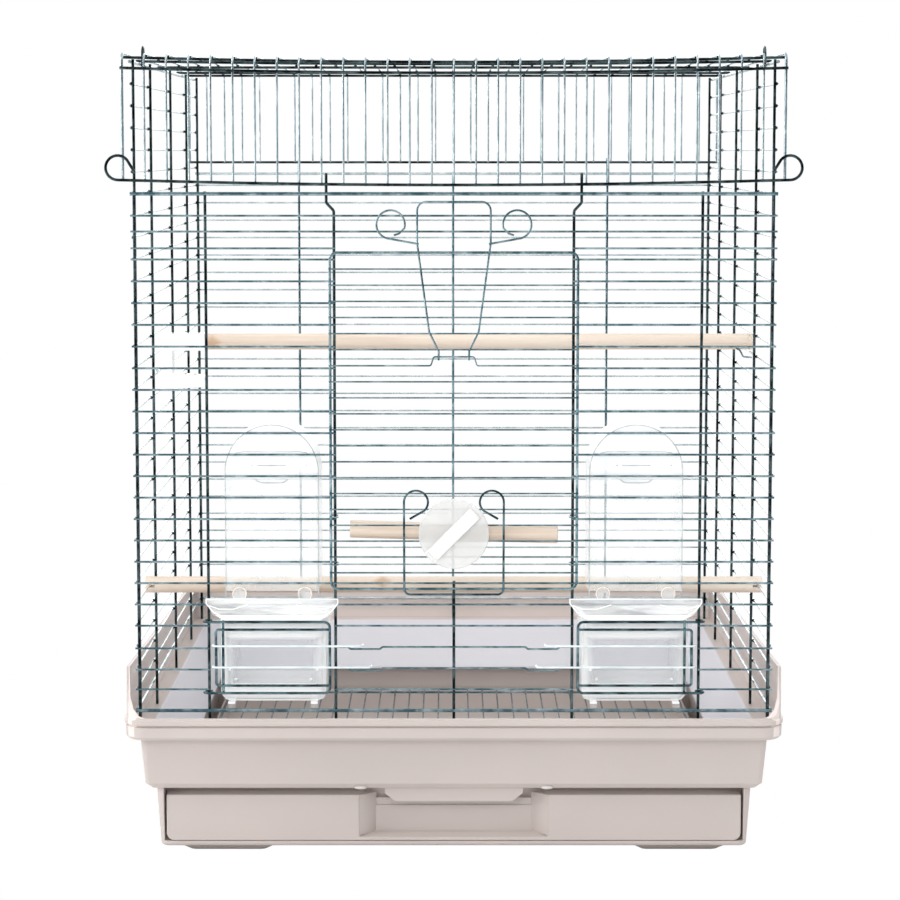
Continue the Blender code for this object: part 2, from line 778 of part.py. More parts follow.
def makeHood(name, side):
    x = side * feederX
    front = -(halfSpan + rowOut - rowRadius) + fitGap
    hood = plate(name, archOutline(x, hoodHalf, hoodTop, hoodBottom), front, front + hoodDepth)
    inside = archOutline(x, hoodHalf - hoodWall, hoodTop - hoodWall, hoodBottom - 0.010)
    cut(hood, plate(name + "_inside", inside, front + hoodWall, front + hoodDepth + 0.010))
    bossZ = (rowZ(5) + rowZ(6)) / 2
    for offset in (-0.0229, 0.0229):
        boss = rod(name + "_boss", (x + offset, front + 0.0010, bossZ), (x + offset, front - 0.0018, bossZ),
                   bossRadius)
        join(hood, boss)
    return finish(hood, name, clearPlastic(name))


# Base tub: one ring section round a rounded square, with a raised guard at the sides and the back
tubCorner = 0.016
drawerFront = drawerHalf + 0.0050
tabLow = 0.0375


def guardTop(x, y):
    level = guardBackTop + (guardFrontTop - guardBackTop) * (0.5 - y / (2 * lipHalf))
    cornerStart = -lipHalf + tubCorner
    if y > cornerStart:
        return level
    drop = min(1.0, (cornerStart - y) / (0.75 * tubCorner))
    return level + (lipTop + 0.0008 - level) * drop ** 0.5


def makeTub():
    lipBottom = lipTop - bandHeight
    inside = lipHalf - 0.0015 - guardWall
    section = [(tubBottomHalf - 0.004, tubBottom), (tubBottomHalf, tubBottom + 0.004), (tubTopHalf, lipBottom)]
    section += [(lipHalf - 0.0030, lipBottom), (lipHalf - 0.0010, lipBottom + 0.0020)]
    section += [(lipHalf - 0.0008, lipTop - 0.0055), (lipHalf - 0.0020, lipTop - 0.0050)]
    section += [(lipHalf - 0.0020, lipTop - 0.0042), (lipHalf, lipTop - 0.0036), (lipHalf, lipTop - 0.0008)]
    section += [(lipHalf - 0.0015, lipTop)]
    section += [(lipHalf - 0.0018, guardTop), (inside, guardTop)]
    section += [(inside - 0.0008, ledgeZ), (ledgeInnerHalf, ledgeZ), (trayHalf + 0.0020, tubBottom + 0.0020)]
    section.append((trayHalf + 0.0020, tubBottom))
    loops = []
    for half, height in section:
        corner = max(0.004, tubCorner - (lipHalf - half))
        loops.append(roundLoop(half, half, corner, height))
    tub = loft("base_tub", loops, closed=True)
    tabTop = tubBottom + 0.0030
    tab = plate("base_tub_tab", [(-0.0490, tabTop), (0.0490, tabTop), (0.0490, tubBottom - 0.0045),
                                 (0.0415, tabLow), (-0.0415, tabLow), (-0.0490, tubBottom - 0.0045)],
                -drawerFront - 0.0030, -drawerFront - 0.0010)
    join(tub, tab)
    return finish(tub, "base_tub", beigePlastic("base_tub"))


housingFloor = 0.0078
housingTop = tubBottom - fitGap
housingCorner = 0.0060
housingEdge = 0.0015
cavityHalf = housingBottomHalf - 0.0030


def makeHousing():
    bottom = footHeight + fitGap
    base = housingBottomHalf - housingEdge
    loops = [roundLoop(base, base, housingCorner - housingEdge, bottom),
             roundLoop(housingBottomHalf, housingBottomHalf, housingCorner, bottom + housingEdge),
             roundLoop(housingTopHalf, housingTopHalf, housingCorner, housingTop)]
    housing = loft("drawer_housing", loops)
    cavity = box("drawer_cavity", (-cavityHalf, -0.300, housingFloor), (cavityHalf, cavityHalf, 0.060))
    cut(housing, cavity)
    return finish(housing, "drawer_housing", beigePlastic("drawer_housing"))


footX = housingBottomHalf - 0.0480
footY = housingBottomHalf - 0.0230


def makeFoot(name, sideX, sideY):
    x = sideX * footX
    y = sideY * footY
    loops = [roundLoop(0.0270, 0.0170, 0.004, 0.0, (x, y), 2), roundLoop(0.0340, 0.0200, 0.005, footHeight, (x, y), 2)]
    return finish(loft(name, loops), name, beigePlastic(name))


drawerBottom = housingFloor + fitGap
drawerTop = 0.0415
drawerBack = drawerHalf - 0.0025
frontThick = 0.0130
drawerCorner = 0.0055
recessHalf = 0.0640
recessDepth = 0.0095
notchZ = 0.0320


def makeDrawer():
    front = -drawerFront
    corner = arc((drawerHalf - drawerCorner, 0, drawerBottom + drawerCorner), drawerCorner, -90, 0, 4, (0, 2))
    right = [(point.x, point.z) for point in corner] + [(drawerHalf, drawerTop)]
    outline = right + [(-x, z) for x, z in reversed(right)]
    face = plate("drawer", outline, front, front + frontThick)
    tray = box("drawer_tray", (-trayHalf, front + frontThick - 0.002, drawerBottom),
               (trayHalf, drawerBack, trayWallTop))
    join(face, tray)
    hollow = box("drawer_hollow", (-trayHalf + trayWall, front + frontThick + 0.002, drawerBottom + drawerFloor),
                 (trayHalf - trayWall, drawerBack - trayWall, 0.060))
    cut(face, hollow)
    reach = recessHalf + 0.004
    recess = loft("drawer_recess", [
        [(-reach, front - 0.002, 0.0098), (reach, front - 0.002, 0.0098),
         (reach, front - 0.002, 0.060), (-reach, front - 0.002, 0.060)],
        [(-recessHalf, front + recessDepth, 0.0133), (recessHalf, front + recessDepth, 0.0133),
         (recessHalf, front + recessDepth, 0.060), (-recessHalf, front + recessDepth, 0.060)]])
    cut(face, recess)
    notch = box("drawer_notch", (-recessHalf, front - 0.002, notchZ), (recessHalf, front + frontThick + 0.004, 0.060))
    cut(face, notch)
    return finish(face, "drawer", beigePlastic("drawer"))


gridHalf = trayHalf - trayWall / 2
gridEdge = gridHalf - 0.0030
gridInset = 0.0040
gridFingerGap = 0.0160
gridFrameRadius = 0.0012
gridCrossZ = trayWallTop + fitGap + gridFrameRadius
gridBarZ = gridCrossZ + gridFrameRadius + gridRadius - weldDepth


def makeGrid():
    count = int(gridHalf / gridPitch) - 1
    back = drawerBack - trayWall - gridFingerGap
    front = -drawerFront + frontThick + 0.006
    bars = [[(index * gridPitch, front, gridBarZ), (index * gridPitch, back, gridBarZ)]
            for index in range(-count, count + 1)]
    grid = wires("floor_grid", bars, gridRadius)
    sides = [[(x, front + gridInset, gridCrossZ), (x, back - gridInset, gridCrossZ)] for x in (-gridEdge, gridEdge)]
    ends = [[(-gridHalf, y, gridCrossZ), (gridHalf, y, gridCrossZ)] for y in (front + gridInset, back - gridInset)]
    join(grid, wires("floor_grid_cross", ends, gridFrameRadius))
    join(grid, wires("floor_grid_sides", sides, gridFrameRadius, ridgeAcross))
    return finish(grid, "floor_grid", platedSteel("floor_grid"))


# Assembly: each moving piece has its origin on its joint, and every piece hangs on the one that carries it
frontReach = -latchPivotY + latchWire + (latchRise + latchCurl) * math.sin(math.radians(latchLean))
footprint = bpy.data.objects.new("cage_footprint", None)
parts.objects.link(footprint)


def setPivot(item, place):
    shift = Vector(place) - item.location
    item.data.transform(Matrix.Translation(item.rotation_euler.to_matrix().inverted() @ -shift))
    item.location = place


def hang(item, carrier):
    item.parent = carrier
    item.matrix_parent_inverse = carrier.matrix_world.inverted()


def hangHelpers(item, owner):
    for step in item.modifiers:
        if step.type == "BOOLEAN":
            hangHelpers(step.object, owner)
            hang(step.object, owner)


def assemble(pieces, pivots, carriers):
    for name, place in pivots.items():
        setPivot(pieces[name], place)
    bpy.context.view_layer.update()
    for item in pieces.values():
        hangHelpers(item, item)
    for name, item in pieces.items():
        hang(item, pieces[carriers[name]] if name in carriers else footprint)
    footprint.location.y = (frontReach - lipHalf) / 2
    bpy.context.view_layer.update()


made = [makeFrontPanel(), makeSidePanel("left_panel", -1), makeSidePanel("right_panel", 1), makeBackPanel()]
made += [makeLid(), makeHandle(), makeDoor(), makeDoorHook(), makeLatch(), makeLockDisc()]
made += [makeSmallPerch(), makePerchBolt(), makeLowerPerch(), makeUpperPerch(), makePerchHolder()]
made += [makeTub(), makeHousing(), makeDrawer(), makeGrid()]
pivots = {
    "front_panel": (0, -halfSpan, ledgeZ),
    "roof_lid": (0, lidRailOut, hingeZ),
    "carry_handle": (0, 0, crossZ),
    "front_door": (0, doorFrameY, doorBottom),
    "door_hook": (0, doorRowY, omegaZ),
    "lock_disc": (0, discBack, discZ),
    "small_perch": (0, smallPerchY, discZ),
    "drawer": (0, -drawerFront, drawerBottom),
}
carriers = {
    "drawer_housing": "base_tub",
    "left_panel": "front_panel",
    "right_panel": "front_panel",
    "back_panel": "front_panel",
    "roof_lid": "front_panel",
    "carry_handle": "roof_lid",
    "front_door": "front_panel",
    "door_hook": "front_door",
    "door_latch": "front_panel",
    "small_perch": "front_door",
    "perch_bolt": "small_perch",
    "lock_disc": "small_perch",
    "lower_perch": "front_panel",
    "upper_perch": "front_panel",
    "perch_holder": "front_panel",
    "floor_grid": "drawer",
}
for word, side in (("left", -1), ("right", 1)):
    gate = word + "_feeder_gate"
    bail = word + "_feeder_bail"
    made += [makeGate(gate, side), makeBail(bail, side)]
    made += [makeCup(word + "_feeder_cup", side), makeHood(word + "_feeder_hood", side)]
    pivots[gate] = (side * feederPostX, gateHingeY, gateBottom)
    pivots[bail] = (side * gateRodX, gateY, rowZ(2))
    carriers[gate] = "front_panel"
    carriers[bail] = gate
    carriers[word + "_feeder_cup"] = "front_panel"
    carriers[word + "_feeder_hood"] = "front_panel"
for sideX in (-1, 1):
    for sideY in (-1, 1):
        name = "foot_" + ("front" if sideY < 0 else "back") + ("_left" if sideX < 0 else "_right")
        made.append(makeFoot(name, sideX, sideY))
        carriers[name] = "drawer_housing"
pieces = {item.name: item for item in made}
assemble(pieces, pivots, carriers)
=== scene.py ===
# Square wire bird cage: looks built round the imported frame.
import math

import bmesh
import bpy
from mathutils import Matrix, Vector


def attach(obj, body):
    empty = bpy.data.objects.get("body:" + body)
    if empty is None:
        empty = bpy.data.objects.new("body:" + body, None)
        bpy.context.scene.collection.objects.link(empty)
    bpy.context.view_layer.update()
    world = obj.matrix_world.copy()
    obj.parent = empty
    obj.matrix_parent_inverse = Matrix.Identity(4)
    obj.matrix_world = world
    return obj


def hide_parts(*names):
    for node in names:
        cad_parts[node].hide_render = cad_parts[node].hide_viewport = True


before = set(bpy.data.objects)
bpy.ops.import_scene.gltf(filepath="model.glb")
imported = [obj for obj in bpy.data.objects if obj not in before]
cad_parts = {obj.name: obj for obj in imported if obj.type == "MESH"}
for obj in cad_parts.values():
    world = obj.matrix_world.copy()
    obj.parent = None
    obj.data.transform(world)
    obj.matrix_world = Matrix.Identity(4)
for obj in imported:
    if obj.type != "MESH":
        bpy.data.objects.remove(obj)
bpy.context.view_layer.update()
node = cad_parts
print("frame loaded:", len(node), "nodes")

camera = {
    "place": (-0.0027, -1.9494, 0.4967),
    "tiltDown": 5.57,
    "lens": 100.15,
    "sensor": 36,
    "shift": -0.06,
}
# Each light: name, place, aim, size, power, and whether the wires mirror it
studio = {
    "floorHalf": 60.0,
    "white": (1.0, 1.0, 1.0, 1.0),
    "floorBounce": (0.86, 0.86, 0.86, 1.0),
    "front": (0.006, 0.014, 0.016, 1.0),
    "back": (2.2, 2.2, 2.2, 1.0),
    "ceiling": (0.92, 0.95, 0.96, 1.0),
    "behind": (0.20, 0.72),
    "above": (0.18, 0.62),
    "lights": (
        ("left softbox", (-2.6, -0.9, 1.2), (0, 0, 0.25), (0.7, 2.2), 34, True),
        ("right softbox", (2.6, -1.2, 1.7), (0, 0, 0.25), (1.4, 2.2), 8, False),
        ("top softbox", (0, -0.6, 2.9), (0, 0, 0.3), (2.4, 2.0), 26, False),
        ("front softbox", (-0.5, -3.2, 1.4), (0, 0, 0.3), (2.0, 1.6), 40, False),
    ),
}


# Camera and lights
def makeCamera():
    eye = bpy.data.objects.new("camera", bpy.data.cameras.new("camera"))
    bpy.context.scene.collection.objects.link(eye)
    eye.location = camera["place"]
    eye.rotation_euler = (math.radians(90 - camera["tiltDown"]), 0, 0)
    eye.data.lens = camera["lens"]
    eye.data.sensor_width = camera["sensor"]
    eye.data.shift_y = camera["shift"]
    bpy.context.scene.camera = eye


def areaLight(name, place, aim, size, power, inWires):
    lamp = bpy.data.lights.new(name, "AREA")
    lamp.shape = "RECTANGLE"
    lamp.size, lamp.size_y = size
    lamp.energy = power
    item = bpy.data.objects.new(name, lamp)
    bpy.context.scene.collection.objects.link(item)
    item.location = place
    item.rotation_euler = (Vector(aim) - Vector(place)).to_track_quat("-Z", "Y").to_euler()
    item.visible_glossy = inWires


bpy.context.scene.view_settings.view_transform = "Standard"
makeCamera()
for light in studio["lights"]:
    areaLight(*light)
print("camera and lights placed")


# Shader maths: an expression on values adds its own nodes
class Value:
    def __init__(self, look, socket):
        self.look = look
        self.socket = socket

    def maths(self, operation, *values):
        return self.look.add("ShaderNodeMath", {"operation": operation}, dict(enumerate(values)))

    def __add__(self, other):
        return self.maths("ADD", self, other)

    def __radd__(self, other):
        return self.maths("ADD", other, self)

    def __sub__(self, other):
        return self.maths("SUBTRACT", self, other)

    def __rsub__(self, other):
        return self.maths("SUBTRACT", other, self)

    def __mul__(self, other):
        return self.maths("MULTIPLY", self, other)

    def __rmul__(self, other):
        return self.maths("MULTIPLY", other, self)

    def size(self):
        return self.maths("ABSOLUTE", self)

    def larger(self, other):
        return self.maths("MAXIMUM", self, other)

    def between(self, low, high):
        settings = {"clamp": True}
        return self.look.add("ShaderNodeMapRange", settings, {0: self, 1: low, 2: high, 3: 0.0, 4: 1.0})


class Look:
    def __init__(self, name="", world=None, **shader):
        self.material = world or bpy.data.materials.new(name)
        self.material.use_nodes = True
        self.tree = self.material.node_tree
        self.shader = self.tree.nodes.get("Principled BSDF")
        for socket, value in shader.items():
            self.shader.inputs[socket.replace("_", " ")].default_value = value

    def add(self, kind, settings=None, values=None, output=0):
        made = self.tree.nodes.new(kind)
        for key, value in (settings or {}).items():
            if key == "stops":
                for place, colour in value[2:]:
                    made.color_ramp.elements.new(place)
                for stop, (place, colour) in zip(made.color_ramp.elements, value):
                    stop.position = place
                    stop.color = (*colour, 1.0)
            else:
                setattr(made, key, value)
        for key, value in (values or {}).items():
            self.connect(made.inputs[key], value)
        return Value(self, made.outputs[output])

    def connect(self, socket, value):
        if isinstance(value, Value):
            self.tree.links.new(value.socket, socket)
        else:
            socket.default_value = value

    def feed(self, socket, value):
        self.connect(self.shader.inputs[socket], value)
        return self

    def place(self, stretch=(1, 1, 1)):
        where = self.add("ShaderNodeTexCoord", output="Object")
        return self.add("ShaderNodeMapping", {}, {"Vector": where, "Scale": stretch})

    def noise(self, scale, detail, rough, stretch=(1, 1, 1)):
        values = {"Vector": self.place(stretch), "Scale": scale, "Detail": detail, "Roughness": rough}
        return self.add("ShaderNodeTexNoise", {}, values)

    def axes(self):
        split = self.add("ShaderNodeSeparateXYZ", {}, {0: self.place()}).socket.node
        return [Value(self, split.outputs[axis]) for axis in "XYZ"]

    def colours(self, mask, stops):
        return self.add("ShaderNodeValToRGB", {"stops": stops}, {"Fac": mask})

    def mixColours(self, mask, first, second):
        return self.add("ShaderNodeMix", {"data_type": "RGBA"}, {0: mask, 6: first, 7: second}, output=2)

    def whenSeen(self, seen, other, end):
        direct = self.add("ShaderNodeLightPath", output="Is Camera Ray")
        mix = self.add("ShaderNodeMixShader", {}, {0: direct})
        self.tree.links.new(other, mix.socket.node.inputs[1])
        self.tree.links.new(seen.socket, mix.socket.node.inputs[2])
        self.tree.links.new(mix.socket, end.inputs["Surface"])

    def bump(self, height, distance):
        return self.feed("Normal", self.add("ShaderNodeBump", {}, {"Height": height, "Distance": distance}))


# Plated wire in six tones, each with a dark and a pale blotch and its metallic value. The plating is one
# finish: the tones are painted reflection and painted shade by how each wire meets the lights. Posts and
# rails are painted nearly black, rows teal, and wires that face the back light are painted pale.
platingLitAndShaded = {
    "black": ((0.005, 0.010, 0.012), (0.10, 0.15, 0.16), 1.0),
    "dark": ((0.02, 0.045, 0.055), (0.20, 0.31, 0.34), 1.0),
    "teal": ((0.07, 0.15, 0.18), (0.44, 0.56, 0.60), 1.0),
    "grey": ((0.34, 0.44, 0.48), (0.74, 0.82, 0.84), 0.9),
    "pale": ((0.50, 0.59, 0.62), (0.90, 0.96, 0.97), 0.75),
    "white": ((0.72, 0.80, 0.82), (0.96, 1.00, 1.00), 0.35),
}


def platedWire(name, tone="teal"):
    dark, pale, metallic = platingLitAndShaded[tone]
    look = Look(name, Metallic=metallic)
    # Painted glints and painted dark reflection, blotched along the wire
    glintBlotch = look.noise(90, 3, 0.6)
    fine = look.noise(900, 2, 0.5)
    look.feed("Base Color", look.colours(glintBlotch + 0.25 * (fine - 0.5), [(0.40, dark), (0.72, pale)]))
    look.feed("Roughness", 0.14 + 0.16 * fine)
    look.bump(fine, 0.00003)
    return look.material


# Taupe polystyrene with a fine grain. The tub's sloped floor is painted lavender-grey and lighter, and its
# inner rim lighter: painted light and reflection inside the tub.
def mouldedPlastic(name, colour=(0.555, 0.485, 0.455), funnel=None):
    look = Look(name)
    cloud = look.noise(9, 2, 0.5)
    fine = look.noise(1400, 2, 0.6)
    shade = tuple(channel * 0.94 for channel in colour)
    skin = look.colours(cloud, [(0.30, shade), (0.70, colour)])
    if funnel:
        across, along, height = look.axes()
        inside = across.size().larger((along - cage["forward"]).size())
        edge = inside - funnel["slope"] * (height - funnel["low"])
        within = 1 - edge.between(funnel["half"], funnel["half"] + funnel["fade"])
        mask = within * (1 - height.between(funnel["top"] - funnel["topFade"], funnel["top"]))
        wall = 1 - inside.between(funnel["wall"], funnel["wall"] + funnel["fade"])
        # Painted light: the inner rim walls are made lighter than the body
        paintedLightRim = wall * height.between(funnel["top"] - funnel["rimFade"], funnel["top"])
        skin = look.mixColours(paintedLightRim, skin, funnel["paintedLightRim"])
        # Painted light and reflection: the sloped floor is made lavender-grey and lighter than the body
        skin = look.mixColours(mask, skin, funnel["colour"])
    look.feed("Base Color", skin)
    look.feed("Roughness", 0.34 + 0.14 * fine)
    look.bump(fine, 0.00004)
    return look.material


# Clear styrene: pale and see-through on its faces, milky towards its rims
def clearPlastic(name, alpha, rimAlpha, tint=(0.93, 0.96, 0.96)):
    look = Look(name, IOR=1.49)
    fine = look.noise(60, 2, 0.5)
    rim = look.add("ShaderNodeLayerWeight", {}, {"Blend": 0.25}, output="Facing")
    look.feed("Base Color", look.colours(fine, [(0.3, tint), (0.7, (1.0, 1.0, 1.0))]))
    look.feed("Alpha", alpha + rimAlpha * rim)
    look.feed("Roughness", 0.06 + 0.06 * fine)
    return look.material


# Pale softwood. A knot is an across and a height, with a brown patch round it that the grain makes uneven.
wood = {
    "grain": [(0.30, (0.63, 0.49, 0.38)), (0.50, (0.77, 0.645, 0.54)), (0.72, (0.84, 0.735, 0.64))],
    "knot": (0.50, 0.27, 0.13, 1.0),
    "knotFade": (0.0030, 0.0085),
    "knotDepth": 0.62,
    "knotFlat": 1.4,
    "knotUneven": 0.006,
}


def paleWood(name, knot=None):
    look = Look(name)
    grain = look.noise(55, 4, 0.6, stretch=(0.06, 1.0, 1.0))
    pore = look.noise(900, 3, 0.6, stretch=(0.04, 1.0, 1.0))
    skin = look.colours(grain + 0.2 * (pore - 0.5), wood["grain"])
    if knot:
        across, along, height = look.axes()
        away = (across - knot[0]).size() + wood["knotFlat"] * (height - knot[1]).size()
        away = away + wood["knotUneven"] * (grain - 0.5)
        skin = look.mixColours(wood["knotDepth"] * (1 - away.between(*wood["knotFade"])), skin, wood["knot"])
    look.feed("Base Color", skin)
    look.feed("Roughness", 0.52 + 0.2 * pore)
    look.bump(pore, 0.0001)
    return look.material


# The cage's own measures, which the wires, feeders and perches share
cage = {
    "halfSpan": 0.2210,
    "forward": 0.00543987,
    "footing": 0.0880,
    "bottomRail": 0.1055,
    "rowPitch": 0.0151,
    "sideRows": 30,
    "row": 0.0009,
    "post": 0.0013,
    "rail": 0.0016,
    "weld": 0.0004,
    "gap": 0.0003,
    "hair": 0.0001,
    "railStep": 0.0003,
    "feederPost": 0.1720,
    "doorPost": 0.0830,
    "feeder": 0.1272,
    "lidBar": 0.0009,
    "behind": 0.0005,
    "slim": 0.79,
}
halfSpan = cage["halfSpan"]
rowOut = cage["post"] + cage["row"] - cage["weld"]
railOut = rowOut + cage["railStep"]
sideHalf = halfSpan - 2 * cage["post"] - cage["gap"]
sideTop = cage["bottomRail"] + cage["sideRows"] * cage["rowPitch"]
crossZ = sideTop + cage["rail"] + cage["gap"] + cage["post"]
lidBarZ = crossZ + cage["post"] + cage["lidBar"] + cage["hair"]
lidBarOut = halfSpan + cage["post"] + cage["gap"] + cage["hair"] + cage["lidBar"]
lidRailOut = lidBarOut + cage["lidBar"] + cage["post"] - cage["weld"]


def rowZ(index):
    return cage["bottomRail"] + index * cage["rowPitch"]


# A bent wire: straight runs with an arc at each inner corner
def bend(points, radius, steps=5):
    path = [Vector(points[0])]
    for before, corner, after in zip(points, points[1:], points[2:]):
        here = Vector(corner)
        back = (Vector(before) - here).normalized()
        ahead = (Vector(after) - here).normalized()
        turn = back.angle(ahead)
        reach = radius / math.tan(turn / 2)
        centre = here + (back + ahead).normalized() * (radius / math.sin(turn / 2))
        first = here + back * reach - centre
        last = here + ahead * reach - centre
        for step in range(steps + 1):
            path.append(centre + first.slerp(last, step / steps).normalized() * radius)
    path.append(Vector(points[-1]))
    return path


def arc(centre, radius, start, end, steps, plane):
    path = []
    for step in range(steps + 1):
        angle = math.radians(start + (end - start) * step / steps)
        point = Vector(centre)
        point[plane[0]] += radius * math.cos(angle)
        point[plane[1]] += radius * math.sin(angle)
        path.append(point)
    return path


def mirrored(path, side=-1):
    return [Vector((side * point[0], point[1], point[2])) for point in path]


def bothWays(half):
    return mirrored(half)[::-1] + [Vector(point) for point in half]


def settle(item, body, material, slot, stands=True):
    bpy.context.scene.collection.objects.link(item)
    item.data.materials.append(material)
    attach(item, body)
    if stands:
        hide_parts(slot)
    return item


def wirePiece(name, body, runs, material, slot, stands=True):
    curve = bpy.data.curves.new(name, "CURVE")
    curve.dimensions = "3D"
    curve.twist_mode = "MINIMUM"
    curve.bevel_depth = 1.0
    curve.bevel_resolution = 2
    curve.use_fill_caps = True
    for path, radius in runs:
        spline = curve.splines.new("POLY")
        spline.points.add(len(path) - 1)
        for point, (x, y, z) in zip(spline.points, path):
            point.co = (x, y + cage["forward"], z, 1.0)
            point.radius = radius * cage["slim"]
    return settle(bpy.data.objects.new(name, curve), body, material, slot, stands)


def meshObject(name, work):
    mesh = bpy.data.meshes.new(name)
    work.to_mesh(mesh)
    work.free()
    mesh.shade_smooth()
    return bpy.data.objects.new(name, mesh)


# Resistance welds: a small bead where each row is pressed into its post
weldMetal = platedWire("weld beads", "black")


def weldBeads(name, body, places, slot, radius=0.0013):
    work = bmesh.new()
    for x, y, z in places:
        place = Matrix.Translation((x, y + cage["forward"], z))
        bmesh.ops.create_icosphere(work, subdivisions=1, radius=radius, matrix=place)
    return settle(meshObject(name, work), body, weldMetal, slot, stands=False)


# The four wire panels. The notch gives the places of a feeder row's low middle part, and the guide the
# heights and the side step of a door post's jog.
panel = {
    "topRow": 24,
    "sillRow": 6,
    "wideRows": (5, 6, 23),
    "lastDoorRow": 21,
    "feederRows": (1, 2, 3, 4),
    "notchRows": (2, 3),
    "doubleRows": (0.0376, 0.0260),
    "end": 0.0012,
    "stub": 0.0006,
    "notch": (0.0745, 0.0725, 0.0520, 0.0500),
    "notchDrop": 0.0015,
    "notchBend": 0.0015,
    "shortDrop": 0.0010,
    "guide": (0.0260, 0.0205, 0.0143, 0.0052),
    "guideBend": 0.003,
    "sidePosts": (-0.1230, 0.0080, 0.1240),
    "backTop": 0.4779,
    "prongX": 0.1335,
    "prongRise": 0.0020,
    "hingeDrop": 0.0763,
    "loop": (-0.1600, 0.0050, 0.0125),
    "loopRoot": 0.0020,
}
frontTop = rowZ(panel["topRow"])
frontEnd = halfSpan + cage["post"] + panel["end"]
hingeZ = lidBarZ - panel["hingeDrop"]


def level(x0, x1, y, z):
    return [(x0, y, z), (x1, y, z)]


def upright(x, y, top):
    return [(x, y, cage["footing"]), (x, y, top)]


def frontRows():
    shortDouble, wideDouble = [frontTop - drop for drop in panel["doubleRows"]]
    stub = panel["stub"]
    wide = sorted([rowZ(index) for index in panel["wideRows"]] + [wideDouble])
    rows = [level(-frontEnd, frontEnd, 0, z) for z in wide]
    besideDoor = [rowZ(index) for index in range(panel["sillRow"] + 1, panel["lastDoorRow"] + 1)]
    besideDoor.append(shortDouble)
    for side in (-1, 1):
        rows += [level(side * frontEnd, side * (cage["doorPost"] - stub), 0, z) for z in besideDoor]
        for index in panel["feederRows"]:
            z = rowZ(index) - (panel["shortDrop"] if index in panel["notchRows"] else 0)
            rows.append(level(side * frontEnd, side * (cage["feederPost"] - stub), 0, z))
    outer, outerLow, innerLow, inner = panel["notch"]
    for index in panel["feederRows"]:
        z = rowZ(index)
        low = z - panel["notchDrop"]
        end = (cage["doorPost"] + stub, 0, z)
        if index in panel["notchRows"]:
            half = [(0, 0, z), (inner, 0, z), (innerLow, 0, low), (outerLow, 0, low), (outer, 0, z), end]
            rows.append(bothWays(bend(half, panel["notchBend"], 3)[1:]))
        else:
            rows.append(bothWays([end]))
    return rows


def makeFrontWires():
    y = -halfSpan
    sill = rowZ(panel["sillRow"])
    lift, jogUp, above, jog = panel["guide"]
    rows = [[(px, y - rowOut, pz) for px, py, pz in path] for path in frontRows()]
    uprights = [(side * halfSpan, y) for side in (-1, 1)]
    uprights += [(side * cage["feederPost"], y + cage["behind"]) for side in (-1, 1)]
    runs = [(upright(x, py, frontTop + cage["rail"]), cage["post"]) for x, py in uprights]
    runs.append((upright(0, y, sill + cage["post"]), cage["post"]))
    for side in (-1, 1):
        x = side * cage["doorPost"]
        top = frontTop + above
        outer = x + side * jog
        corners = [(x, y, cage["footing"]), (x, y, top - lift), (outer, y, top - jogUp), (outer, y, top)]
        runs.append((bend(corners, panel["guideBend"]), cage["post"]))
    runs.append((keeperPath(), latch["keeperWire"]))
    across = [(path, cage["row"]) for path in rows]
    for z in (cage["bottomRail"], frontTop):
        across.append((level(-frontEnd, frontEnd, y - railOut, z), cage["rail"]))
    wirePiece("front_wires", "wire_body", runs, platedWire("front posts", "black"), "front_panel")
    wirePiece("front_rows", "wire_body", across, platedWire("front rows"), "front_panel", stands=False)
    half = (halfSpan, cage["feederPost"], cage["doorPost"])
    posts = sorted([0] + [side * x for side in (-1, 1) for x in half])
    beads = []
    for path in rows:
        z = path[0][2]
        first, last = sorted((path[0][0], path[-1][0]))
        for x in posts:
            pastMiddlePost = x == 0 and z > sill + cage["post"]
            if first < x < last and not pastMiddlePost:
                beads.append((x, y - cage["post"], z))
    weldBeads("front_welds", "wire_body", beads, "front_panel")


def makeSideWires(word, side):
    slot = word + "_panel"
    runs = []
    rows = []
    beads = []
    x = side * (halfSpan + rowOut)
    reach = sideHalf + cage["row"]
    for index in range(1, cage["sideRows"]):
        rows.append(([(x, -reach, rowZ(index)), (x, reach, rowZ(index))], cage["row"]))
        for y in (-sideHalf, *panel["sidePosts"], sideHalf):
            beads.append((side * (halfSpan + cage["post"]), y, rowZ(index)))
    for y in (-sideHalf, sideHalf):
        runs.append((upright(side * halfSpan, y, sideTop + cage["rail"]), cage["post"]))
    for y in panel["sidePosts"]:
        runs.append((upright(side * (halfSpan - cage["behind"]), y, sideTop + cage["rail"]), cage["post"]))
    for z in (cage["bottomRail"], sideTop):
        rows.append(([(side * (halfSpan + railOut), y, z) for y in (-reach, reach)], cage["rail"]))
    middle, half, rise = panel["loop"]
    foot = sideTop - cage["rail"] - panel["loopRoot"]
    loop = [(side * halfSpan, middle - half, foot)]
    loop += arc((side * halfSpan, middle, sideTop + rise - half), half, 180, 0, 12, (1, 2))
    runs.append((loop + [(side * halfSpan, middle + half, foot)], cage["row"]))
    wirePiece(word + "_wires", "wire_body", runs, platedWire(word + " side posts", "black"), slot)
    wirePiece(word + "_rows", "wire_body", rows, platedWire(word + " side rows", "pale"), slot, stands=False)
    weldBeads(word + "_welds", "wire_body", beads, slot)


